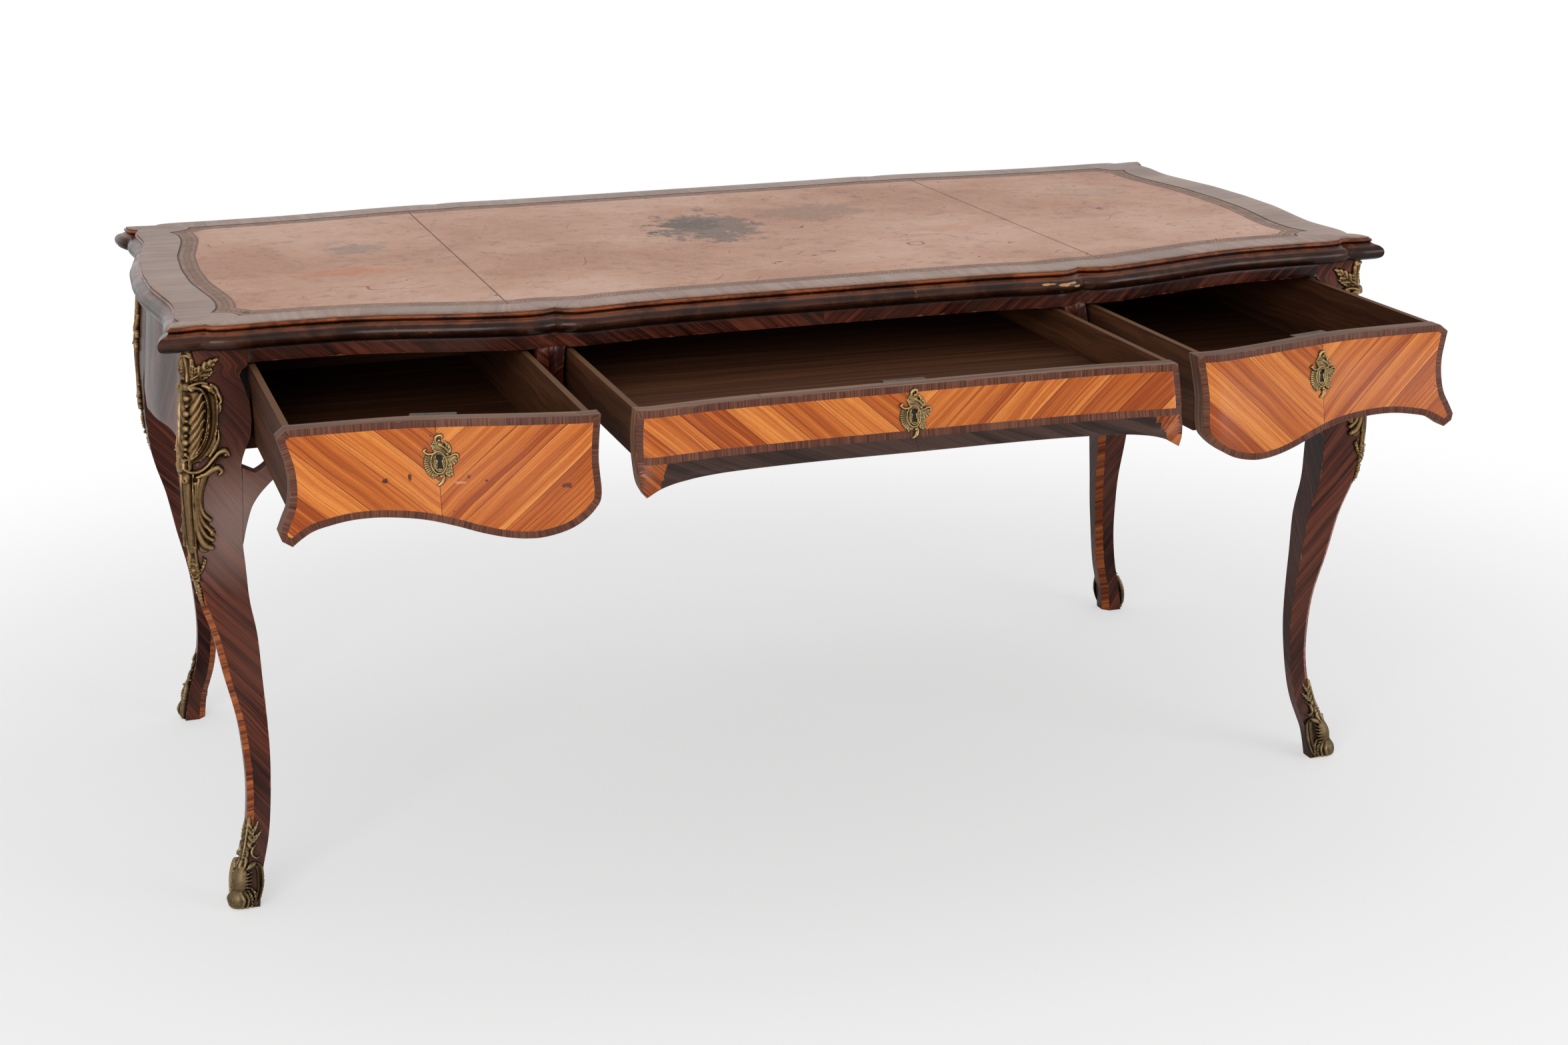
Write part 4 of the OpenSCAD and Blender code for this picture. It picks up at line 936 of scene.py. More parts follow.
# %% Side panels
def on_side(sign):
    """Places on a side of the carcass for points (y, z), or inside it."""
    def place(p, deep=0.0):
        x = side_at(p[:, 0]) + SIDE_BOMBE * bombe(p[:, 1]) - deep
        return np.stack([sign * x, p[:, 0], p[:, 1]], 1)
    return place


for side, sign in (("left", -1), ("right", 1)):
    name = "side_panel_" + side
    loop = curved(outlines(name, (sign, 0, 0))[0][:, [1, 2]], 0.006)
    dark_plate(name + "_veneered", loop, on_side(sign), 0.022, slanted(52, middle_y), name,
               [upright_seam(middle_y, 0.45, 0.76, 40)], middle_y, 0.011, True)
print("side panels veneered")

# %% Knee blocks and back posts
def flush(place, sy):
    """Brings a knee block's face level with the leg beside it, and lets it fall back along its length."""
    points = corners("leg_front_right" if sy < 0 else "leg_back_right")
    levels = np.unique(points[:, 2])
    leg_y = along_line([(z, sy * (points[np.abs(points[:, 2] - z) < 1e-5, 1] * sy).max()) for z in levels])
    edge_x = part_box("leg_front_right")[0].x + 22 * MM

    def made(p, deep=0.0):
        face = place(p, deep)
        root = place(np.stack([np.sign(p[:, 0]) * edge_x, p[:, 1]], 1))[:, 1]
        away = (edge_x - np.abs(p[:, 0])) / 0.1
        face[:, 1] += (leg_y(p[:, 1]) - root) * (1 - eased(away))
        return face

    return made


def blocks(node, sy, place, label):
    """Veneers those solids of a node that stand at the front (sy -1) or at the back (sy 1)."""
    found = [l for l in outlines(node, (0, sy, 0)) if (l[:, 1].mean() - middle_y) * sy > 0]
    for k, loop in enumerate(found):
        fine = curved(loop[:, [0, 2]], 0.003)
        dark_plate(f"{label}_{k + 1}", fine, place, 0.024, slanted(math.copysign(48, fine[:, 0].mean())), node,
                   spacing=0.006)
    print(len(found), label)


blocks("knee_blocks", -1, flush(on_front, -1), "knee_block_front")
blocks("knee_blocks", 1, flush(on_back, 1), "knee_block_back")
blocks("back_stiles", 1, on_back, "back_post")

# %% [markdown]
# ## Legs
# A cabriole leg is sawn from one post and then veneered on its faces, with a slip of lighter wood let into
# the arrises that wear. Its section is a square with two corners taken off. The frame's rings are read
# level by level, a smooth curve goes through each corner up the height, and each arris is rounded by a
# millimetre.

# %% Rings of a leg
ROUND = 0.9 * MM
SIDES = [1, 0, 0, 1, 0, 0]


def ring_at(points, z, sx, sy):
    """The six corners of a leg at a level, from the outer arris round by the side, in order."""
    ring = points[np.abs(points[:, 2] - z) < 1e-5]
    flat = np.stack([ring[:, 0] * sx, (ring[:, 1] - middle_y) * sy], 1)
    centre = flat.mean(0)
    angle = np.arctan2(flat[:, 1] - centre[1], flat[:, 0] - centre[0])
    order = flat[np.argsort(-angle)]
    first = max(range(6), key=lambda i: order[i][1] * 1000 + order[i][0])
    return np.roll(order, -first, 0)


def leg_tracks(name):
    """Which way a leg's corner points in x and y, its levels, and a smooth line up it for both numbers of each
    corner."""
    sx = 1 if "right" in name else -1
    sy = -1 if "front" in name else 1
    points = corners(name)
    levels = np.unique(points[:, 2])
    rings = np.array([ring_at(points, z, sx, sy) for z in levels]).reshape(len(levels), 12)
    return sx, sy, levels, [along_line(zip(levels, rings[:, k])) for k in range(12)]


# %% Legs
RING_EVERY = 6 * MM
SLANT = math.radians(36)


def leg_columns(fine):
    """Points round each ring: for each, its places up the leg, the face it is on and how far across that."""
    columns, strip, across = [], [], []
    for k in range(6):
        a, b = fine[:, k], fine[:, (k + 1) % 6]
        way = unit(b - a)
        cuts = [0.25, 1.0] + ([] if SIDES[k] else [2.0])
        inner = np.linspace(0, 1, 2 if SIDES[k] else 6)[1:-1]
        parts = [a + way * ROUND * c for c in cuts] + [a + (b - a) * t for t in inner]
        for q in parts + [b - way * ROUND * c for c in cuts[::-1]]:
            columns.append(q)
            strip.append(k)
            across.append(np.linalg.norm(q - a, axis=1))
    # The cuts nearest a corner are drawn in, which rounds it
    for k in range(6):
        j = strip.index(k)
        i = (j or len(strip)) - 1
        drawn = ((columns[i] + columns[j]) / 2 - fine[:, k]) * 0.35
        columns[i] = columns[i] + drawn
        columns[j] = columns[j] + drawn
    return columns, strip, across


def leg(name):
    """A leg with smooth curves up its corners, rounded arrises, and slips on two of its six faces."""
    sx, sy, levels, tracks = leg_tracks(name)
    heights = np.array([*np.arange(0, levels[-1], RING_EVERY), levels[-1]])
    fine = np.stack([[t(z) for t in tracks] for z in heights]).reshape(len(heights), 6, 2)
    columns, strip, across = leg_columns(fine)
    count, rows = len(columns), len(heights)
    verts = np.concatenate([np.stack(columns, 1), np.repeat(heights[:, None, None], count, 1)], 2).reshape(-1, 3)
    verts[:, 0] *= sx
    verts[:, 1] = verts[:, 1] * sy + middle_y
    faces, zones, grain, edge = [], [], [], []
    flip = sx * sy > 0
    for i in range(rows - 1):
        for c, k in enumerate(strip):
            d = (c + 1) % count
            last = count - 1 - strip[::-1].index(k)
            quad = [(i, c), (i, d), (i + 1, d), (i + 1, c)]
            quad = quad[::-1] if flip else quad
            for r, q in quad:
                u = across[q][r] if strip[q] == k else across[c][r] + 0.4 * MM
                h = heights[r]
                if SIDES[k]:
                    grain.append((h * 0.8 + u * 0.3, u))
                    edge.append((h, 0.003))
                else:
                    lay = SLANT if k in (5, 1) else -SLANT
                    grain.append((u * math.cos(lay) - h * math.sin(lay) + k, u * math.sin(lay) + h * math.cos(lay)))
                    edge.append((h, min(u, across[last][r] + ROUND - u)))
            faces.append([r * count + q for r, q in quad])
            zones.append(SIDES[k])
    for top in (0, rows - 1):
        cap = [top * count + c for c in range(count)]
        faces.append(cap if (top == 0) != flip else cap[::-1])
        zones.append(0)
        grain += [(0, 0)] * count
        edge += [(0, BACK_EDGE)] * count
    piece = new_piece(name + "_veneered", verts, faces, [rosewood, slip_wood], "carcass", name)
    piece.data.polygons.foreach_set("material_index", zones)
    set_map(piece.data, "grain", grain)
    set_map(piece.data, "edge", edge)
    smooth(piece, 32)


for name in legs:
    leg(name)
print("four legs veneered")

# %% [markdown]
# ## The moulded edge
# Four lengths of solid moulding are mitred at the ears. From the top down the section has a small bead, a
# quirk, a hollow and a heavy rounded lip. The frame gives ten lines of points along the edge; a curve goes
# through each line, and the section between the lines is refined the same way.

# %% Mouldings
mouldings = ["edge_moulding_" + side for side in ("front", "right", "back", "left")]
MITRE_GRAIN = 0.028
FOOT_LINE = 7


def moulding_lines():
    """The ten lines of the moulding round the whole top, from its inner upper edge down to its foot."""
    points = corners(*mouldings)
    made = []
    for z in np.unique(points[:, 2].round(5))[::-1]:
        row = points[np.abs(points[:, 2] - z) < 2e-5]
        if len(made) == 9:
            inner = made[0][:, :2]
            row = row[[np.abs(inner - p[:2]).sum(1).min() > 1e-4 for p in row]]
        row = row[np.argsort(np.arctan2(row[:, 1] - middle_y, row[:, 0]))]
        if made:
            row = np.roll(row, -np.linalg.norm(row[:, :2] - made[0][0, :2], axis=1).argmin(), 0)
        made.append(row)
    return np.array(made)


lines = moulding_lines()
print("moulding:", lines.shape[1], "points on each of", lines.shape[0], "lines")

# %% The four lengths
def moulding(name):
    """One length: its part of each line, then the section between the lines, closed by its two mitres."""
    own = {tuple(p) for p in corners(name)[:, :2].round(5)}
    mine = np.array([tuple(p) in own for p in lines[FOOT_LINE][:, :2].round(5)])
    first = next(i for i in range(len(mine)) if mine[i] and not mine[i - 1])
    order = [(first + k) % len(mine) for k in range(mine.sum())]
    part = lines[:, order]
    part = np.concatenate([part, np.concatenate([part[0, :, :2], part[9, :, 2:]], 1)[None]])
    rows = np.array([curved(row, 0.006, closed=False, sharp=30, guide=part[FOOT_LINE]) for row in part])
    columns = rows.shape[1]
    fine = curved(rows.reshape(len(rows), -1), 0.0012 * math.sqrt(columns), closed=False, fixed=(1, 3, 9))
    fine = fine.reshape(-1, columns, 3)
    count = len(fine)
    across = np.mean([travelled(fine[:, j]) for j in range(columns)], 0)
    along = travelled(rows[FOOT_LINE])
    faces, grain = [], []
    for i in range(count):
        k = (i + 1) % count
        on = across[k] if k else across[-1] + MITRE_GRAIN
        for j in range(columns - 1):
            faces.append([i * columns + j, k * columns + j, k * columns + j + 1, i * columns + j + 1])
            grain += [(across[i], along[j]), (on, along[j]), (on, along[j + 1]), (across[i], along[j + 1])]
    for j in (0, columns - 1):
        end = [i * columns + j for i in range(count)]
        faces.append(end[::-1] if j == 0 else end)
        grain += [(0.03, 0)] * count
    piece = new_piece(name + "_polished", fine.reshape(-1, 3), faces, [moulding_wood], "carcass", name)
    set_map(piece.data, "grain", grain)
    set_map(piece.data, "edge", [(g[1], 0.01) for g in grain])
    bm = bmesh.new()
    bm.from_mesh(piece.data)
    bmesh.ops.recalc_face_normals(bm, faces=bm.faces)
    bm.to_mesh(piece.data)
    bm.free()
    smooth(piece, 50)


for name in mouldings:
    moulding(name)
print("four mouldings polished")

# %% [markdown]
# ## Border and leather
# Crossbanding is veneer with its grain square to the edge, so it is cut in short lengths round the border.
# The leather lies a hair below it in three skins that butt at two seams.

# %% Border and leather
def level_at(z):
    """Places at a height for points (x, y)."""
    return lambda p: np.concatenate([p, np.full((len(p), 1), z)], 1)


border_faces = [level_at(c.z) for c in reversed(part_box("veneer_border"))]
skin_faces = [level_at(c.z) for c in reversed(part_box("leather_skins"))]
rims = sorted(outlines("veneer_border", (0, 0, 1)), key=lambda r: -np.ptp(r[:, 0]))
outer, inner = [curved(r[:, :2], 0.007) for r in rims]
inner = inner if signed_area(inner) > 0 else inner[::-1]
plate("veneer_border_crossbanded", outer, *border_faces, [border_wood, border_wood, oak_edges], one_finish,
      lambda p, m, z, run, away: (run, away), "carcass", "veneer_border", "border_veneer", spacing=0.016,
      soft=0.6 * MM, holes=[inner])
skins = sorted(outlines("leather_skins", (0, 0, 1)), key=lambda r: r[:, 0].mean())
for part, skin in zip(("left", "middle", "right"), skins):
    plate("leather_" + part, curved(skin[:, :2], 0.007), *skin_faces, [leather] * 3, one_finish,
          lambda p, m, z, run, away: (away, p[1]), "carcass", "leather_skins", "leather", spacing=0.02,
          rings=(0.003, 0.0095, 0.019), soft=0.4 * MM, edge_loop=inner)
print("border and three skins laid")

# %% [markdown]
# ## Bronzes
# A founder cast each mount from a carved model with a flat back, and a chaser then cut its veins and beads.
# So a mount is a relief: a height over the surface that carries it. Here the height is drawn as strokes, the
# way a carver lays out leaves and scrolls: round bands, hollow bands, notched leaves, beads and fans of ribs.
# Where strokes overlap the higher one wins, which leaves the crisp creases of chased work. The relief is then
# cut out where there is no height, bent over the wood, and closed with a back.

# %% Strokes of a carver
def stroke(form, points, u, t):
    """Height of one stroke over a grid. Each point of it is (u, t, half width, height), in millimetres."""
    line = curved(points, 0.6, closed=False, sharp=100)
    run = travelled(line[:, :2])
    wide = line[:, 2].max()
    near = np.nonzero((u > line[:, 0].min() - wide) & (u < line[:, 0].max() + wide)
                      & (t > line[:, 1].min() - wide) & (t < line[:, 1].max() + wide))
    made = np.zeros(u.shape)
    if not len(near[0]):
        return made
    d = np.hypot(u[near][:, None] - line[:, 0], t[near][:, None] - line[:, 1])
    k = d.argmin(1)
    d, half, tall, s = d.min(1), line[k, 2], line[k, 3], run[k]
    # The lobes of a leaf slant away from its middle vein, each a few millimetres long
    lobe = np.abs(((s - d * 0.9) / max(4.2, wide * 0.9)) % 1 - 0.5) * 2
    if form == "leaf":
        half = half * (0.7 + 0.3 * lobe)
    r = np.clip(d / np.maximum(half, 1e-6), 0, 1)
    if form == "leaf":
        high = (0.4 + 0.6 * (1 - r ** 2) ** 0.6) * (0.74 + 0.26 * lobe) * (0.7 + 0.3 * np.clip(d, 0, 1))
    elif form == "hollow":
        high = (0.4 + 0.6 * np.clip((r - 0.1) / 0.65, 0, 1) ** 2) * np.clip((1 - r) / 0.12, 0, 1) ** 0.5
    else:
        high = np.sqrt(1 - r ** 2)
    if form == "ribbed":
        high = high * (0.82 + 0.18 * np.cos(r * 3 * math.pi))
    made[near] = np.where(d < half, tall * high, 0)
    return made


def carved(strokes, beads, u, t):
    """The height of all strokes and beads together."""
    high = np.zeros(u.shape)
    for form, points in strokes:
        high = np.maximum(high, stroke(form, points, u, t))
    for cu, ct, r, tall in beads:
        d = np.hypot(u - cu, t - ct)
        high = np.maximum(high, np.where(d < r, tall * (0.5 + 0.5 * np.sqrt(np.clip(1 - (d / r) ** 2, 0, 1))), 0))
    return high


def blurred(a, reach):
    """A mean over a square of cells, once along each way of the grid."""
    wide = 2 * reach + 1
    for axis in (0, 1):
        ends = [(reach + 1, reach) if k == axis else (0, 0) for k in (0, 1)]
        total = np.cumsum(np.pad(a, ends, "edge"), axis=axis)
        size = a.shape[axis]
        a = (total.take(range(wide, wide + size), axis) - total.take(range(size), axis)) / wide
    return a


# %% From a height to a casting
EDGE_HIGH = 0.7
SUNK_BACK = 0.35 * MM


def all_four(grid):
    """Which cells have all four of their corners marked."""
    return grid[:-1, :-1] & grid[1:, :-1] & grid[:-1, 1:] & grid[1:, 1:]


def casting(name, u, t, high, base, body, step, least=EDGE_HIGH, metal=gilt_bronze):
    """A relief on a base surface, cut out along its edge and closed at the back. Sizes in millimetres."""
    cells = all_four(high > least)
    slope_t, slope_u = np.gradient(high, step)
    steep = np.maximum(np.hypot(slope_u, slope_t), 0.3)
    inner = all_four(np.pad(cells, 1))
    # Points on the cut edge slide downhill to where the relief ends, so that the grid's steps don't show
    slide = np.where(inner, 0, np.clip((high - least) / steep, 0, 0.6 * step)) / steep
    u, t = u - slope_u * slide, t - slope_t * slide
    high = np.where(inner, high, np.minimum(high, least + 0.3))
    proud = np.clip(0.42 + (high - blurred(high, 4)) / 3.0, 0, 1)
    place, outward = base(u, t)
    front = (place + outward * ((high + 0.4) * MM)[..., None]).reshape(-1, 3)
    back = (place + outward * SUNK_BACK).reshape(-1, 3)
    columns = high.shape[1]
    i, j = np.nonzero(cells)
    a = i * columns + j
    quads = np.stack([a, a + 1, a + 1 + columns, a + columns], 1)
    one = quads[len(quads) // 2]
    p = front[one]
    if np.dot(np.cross(p[1] - p[0], p[3] - p[0]), outward.reshape(-1, 3)[one[0]]) < 0:
        quads = quads[:, ::-1]
    points, fronts, backs, walls = closed_sheet(front, back, quads)
    used, faces = np.unique(np.array(fronts + backs + walls), return_inverse=True)
    piece = new_piece(name + "_chased", points[used], faces.reshape(-1, 4), [metal], body, name, False)
    values = np.concatenate([proud.ravel(), np.zeros(proud.size)])[used]
    piece.data.attributes.new("proud", "FLOAT", "POINT").data.foreach_set("value", values.astype(np.float32))
    smooth(piece, 60)


# %% Corner of a leg as a surface
def corner_surface(name, top_z):
    """Gives places and outward ways for a distance u from the arris and a drop t from a height, in mm."""
    sx, sy, _, tracks = leg_tracks(name)

    def spot(u, z):
        # Corners 0 and 1 bound the narrow face across the arris, 5 and 2 are the far ends of its neighbours
        p5, p0, p1, p2 = [np.stack([tracks[2 * k](z), tracks[2 * k + 1](z)], -1) for k in (5, 0, 1, 2)]
        middle = (p0 + p1) / 2
        half = lengths(p0 - middle)[..., None]
        end = np.where((u > 0)[..., None], p0, p1)
        far = np.where((u > 0)[..., None], p5, p2)
        a = np.abs(u)[..., None]
        return np.where(a < half, middle + (end - middle) * a / half, end + unit(far - end) * (a - half))

    def soft(u, z):
        flat = sum(spot(u + d * MM, z) for d in (-5, -3, -1, 1, 3, 5)) / 6
        return np.stack([flat[..., 0] * sx, flat[..., 1] * sy + middle_y, z], -1)

    def base(u, t):
        u, z = u * MM, top_z - t * MM
        here = soft(u, z)
        du = soft(u + MM, z) - soft(u - MM, z)
        dz = soft(u, z + MM) - soft(u, z - MM)
        outward = unit(np.cross(du, dz))
        turn = outward[..., 0] * sx + outward[..., 1] * sy
        return here, outward * np.sign(turn.mean())

    return base


# %% [markdown]
# ### Knee mounts
# From the top: a rolled leaf with a spray beside it, a collar, a long C scroll that holds a row of beads and
# feathered shell work, two curls, then a straight stem with a plume, a clasp with a beaded oval, and a husk.
# The strokes are drawn once for the front of a leg. The side of it repeats them a little narrower.

# %% Strokes of the knee mount
KNEE_STROKES = [
    ("ribbed", [(0, 36, 8.5, 6), (-1, 22, 8, 6), (0, 9, 9.5, 7.5), (1, 2.5, 6.5, 8)]),
    ("round", [(-4, 4, 4, 9), (2, 2.4, 3.4, 9.4), (5, 5, 2.4, 8)]),
    ("leaf", [(5, 34, 6, 5), (14, 27, 10, 6), (25, 17, 9, 6), (38, 8, 1.4, 4)]),
    ("round", [(5, 33, 2.2, 6.5), (13, 27, 1.6, 7.6), (22, 19.5, 1.3, 7.6), (32, 12, 0.8, 6)]),
    ("leaf", [(7, 30, 3.5, 6), (8, 20, 4, 7), (6, 11, 1.2, 5)]),
    ("leaf", [(10, 35, 5, 5), (20, 31, 5.5, 5), (32, 25, 1.4, 4)]),
    # collar and the volute that starts the scroll
    ("round", [(0, 43, 6, 9), (6, 43, 5.5, 8)]),
    ("round", [(6, 47, 2.2, 9), (3.5, 43, 2.2, 9.4), (7, 39.5, 2.3, 9), (14, 37.5, 2.4, 8), (22, 39, 2.4, 7)]),
    # the long scroll, a hollow between two rims
    ("hollow", [(9, 40, 3, 6), (18, 43, 5, 6), (26, 53, 6.5, 6), (29.5, 70, 6.5, 6), (30, 90, 6, 6),
                (27, 108, 5.5, 6), (20, 122, 5, 6), (10, 132, 4, 6), (3, 136, 3, 6)]),
    ("round", [(9, 44, 1.3, 6.4), (17, 49, 1.3, 7), (22.5, 62, 1.4, 7.2), (23.5, 84, 1.4, 7.2),
               (20, 108, 1.4, 7), (11, 124, 1.3, 6.5)]),
    ("round", [(22, 40, 1.2, 6.4), (31, 50, 1.3, 7), (35.5, 68, 1.3, 7.2), (35.5, 90, 1.3, 7.2),
               (32, 110, 1.3, 7), (24, 126, 1.3, 6.5), (12, 138, 1.2, 6)]),
    ("round", [(27, 41, 3, 6), (33, 46, 3.6, 7), (37, 53, 2.6, 6.4)]),
    ("round", [(33, 50, 3, 6), (38, 57, 3.8, 7), (39.5, 63, 3, 6.4), (37, 66.5, 1.8, 5.6)]),
    ("round", [(35, 62, 2.6, 5.6), (39, 70, 3.2, 6.2), (38, 77, 1.4, 5)]),
    ("round", [(37, 97, 1.4, 4.4), (37.5, 107, 3.2, 6.6), (33, 118, 4.4, 8), (27, 128, 3, 7)]),
    ("round", [(33, 100, 1, 6.6), (33.5, 109, 1.4, 8), (29, 119, 1.4, 9), (23, 127, 1, 8)]),
    # lower volute and the two curls
    ("ribbed", [(0, 131, 7, 8), (0, 138, 7.5, 10), (1, 145, 6.5, 8)]),
    ("round", [(3, 131, 1.8, 9), (0, 134, 1.8, 10.5), (0, 141, 1.8, 10.5), (5, 146, 2, 9.5), (14, 146, 2.6, 8.5),
               (24, 140, 3, 8), (32, 131, 3.4, 8), (38, 125, 4, 8), (46, 123.5, 4.4, 8.5), (51, 129, 2.2, 7)]),
    ("hollow", [(8, 147, 3, 6), (20, 145, 4.2, 6), (30, 136, 4.6, 6.4), (40, 129, 4.6, 6.6), (48, 131, 2, 5)]),
    ("round", [(46, 128, 2.6, 9.4), (47, 128.2, 2.6, 9.4)]),
    ("round", [(12, 153, 3, 6), (22, 150, 4.4, 7), (31, 145, 4.8, 7.6), (38, 143.5, 4.2, 8), (42, 148, 3.2, 7.5),
               (38, 152.5, 2, 6.5)]),
    # stem with its two fillets
    ("round", [(0, 146, 7, 6.6), (0, 160, 7.4, 6.2), (0, 200, 7, 5.6), (0, 246, 6, 5)]),
    ("round", [(8, 150, 1.5, 6.6), (6.8, 190, 1.4, 6), (6, 244, 1.2, 5)]),
    ("round", [(-1, 152, 3.4, 7.8), (2, 158, 2.4, 8), (-2, 161, 2, 7.6)]),
    # plume, four fronds on a thin ground
    ("round", [(20, 152, 7, 3), (14, 175, 5.5, 3), (13, 195, 6, 3), (15, 215, 9, 3.2), (16, 235, 11, 3.2),
               (15, 243, 8, 3)]),
    ("round", [(22, 150, 4.5, 6), (17, 164, 3.4, 5), (13.8, 180, 3, 4.8), (14.4, 192, 3.2, 4.8),
               (18.5, 202, 3.6, 5.2), (24.5, 208, 3.4, 5.6)]),
    ("round", [(19, 153, 4, 6), (13.5, 172, 2.8, 5.2), (12, 190, 3, 5), (13.8, 205, 3.4, 5.2),
               (19, 216, 3.8, 5.4), (25.5, 221.5, 3.4, 5.6)]),
    ("round", [(14, 156, 3.4, 6), (10.8, 178, 2.6, 5.4), (10.3, 200, 3, 5.4), (12.3, 216, 3.6, 5.6),
               (18, 228, 4, 5.6), (25.5, 234, 3.6, 5.8)]),
    ("round", [(10.5, 160, 2.4, 5.6), (9, 190, 2.4, 5.4), (9, 216, 3.2, 5.6), (11.5, 231, 4.4, 6),
               (17.5, 241, 5, 6.4), (24, 244, 4, 6.4)]),
    # clasp and pendant
    ("hollow", [(0, 246, 7, 4.6), (0, 254, 6.4, 4.6), (0, 262, 6.4, 4.4)]),
    ("round", [(0, 262, 7, 4), (0, 273, 8, 5.6), (0, 283, 6.4, 4)]),
    ("leaf", [(7, 277, 2, 4), (11, 267, 3, 5), (13.5, 259, 2.6, 5), (10, 255, 1.4, 4.6)]),
    ("round", [(0, 288, 5, 5), (4, 285.5, 2.4, 6), (5.6, 288, 1.6, 5.5)]),
    ("leaf", [(0, 289, 3, 4), (0, 297, 5.4, 5.4), (0, 306, 3.4, 4)]),
    ("leaf", [(0, 301, 3, 4), (0, 308, 4.2, 5), (0, 317, 2.2, 4), (0, 322.5, 0.9, 3)]),
]
KNEE_BEADS = [(0, t, 3.9, 8.8) for t in (57, 76, 94, 111)] + [(0, t, 2.2, 7) for t in (66.5, 85, 102.5, 119, 125)]
KNEE_BEADS += [(5.6 * math.sin(a), 272.5 + 9 * math.cos(a), 1.15, 7) for a in np.arange(16) * math.pi / 8]
KNEE_BEADS += [(0, 272.5, 3.2, 6.8), (2, 303, 1.2, 5.8), (1.6, 313, 1.0, 5.2)]
# Bosses under the two pins that hold the mount, and the frond and the scroll that swell up to them
KNEE_BEADS += [(26.5, 225.5, 3.8, 7.9), (26.5, 46, 4.2, 9.7)]
KNEE_STROKES += [("round", [(17, 212, 2.4, 5), (22, 219, 3.2, 6.4), (26.5, 225.5, 3.8, 7.2)]),
                 ("round", [(17, 41, 3, 6.6), (22, 43, 3.8, 8), (26.5, 46, 4.4, 9), (31, 51, 3.4, 7.4)])]
# Feathers of the shell work, from the rim of the scroll down to the row of beads, over a thin ground
for k in range(6):
    t = 72 + 11.4 * k
    reach = 19.5 - 0.3 * abs(k - 2.2) ** 2.2
    for off, wide, tall in ((0, 5.6, 5.4), (-2.4, 0.8, 5.7), (0, 0.8, 6.2), (2.4, 0.8, 5.7)):
        slim = 1 if wide > 1 else 0.9
        KNEE_STROKES.append(("round", [
            (4.5, t + 3 + off, wide * 0.8, tall),
            (reach * 0.42, t - 3 + off, wide, tall + 0.5),
            (reach * 0.7, t - 12 + off * 0.9, wide * 0.95, tall),
            (reach * 0.9, t - 20 + off * 0.5, wide * 0.6, tall - 0.6),
            (reach * 1.04, t - 22.5, wide * 0.4 * slim, tall - 0.9),
            (reach * 1.08, t - 20, wide * 0.2, tall - 1.4)]))
KNEE_STROKES.append(("round", [(0, 46, 5, 3.2), (5, 60, 17, 3.2), (6, 90, 21, 3.2), (5, 118, 16, 3.2),
                               (0, 134, 6, 3.2)]))

SIDE_NARROWER = 0.85
STEP = 0.8
chute_top = max(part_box("chute_front_left")[1].z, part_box("chute_front_right")[1].z)
u, t = np.meshgrid(np.arange(-53, 53.5, STEP), np.arange(-2, 325, STEP))
knee_height = carved(KNEE_STROKES, KNEE_BEADS, np.where(u < 0, u / -SIDE_NARROWER, u), t)
for name in legs:
    casting(name.replace("leg", "chute"), u, t, knee_height, corner_surface(name, chute_top), "carcass", STEP)
print("four knee mounts,", int((knee_height > EDGE_HIGH).sum()), "points each")

# %% [markdown]
# ### Foot mounts
# A notched leaf climbs the ankle above a small curl. Under a collar a great C scroll stands free of a ribbed
# boss, with an opening between them, and a gadrooned toe carries the weight of the leg.

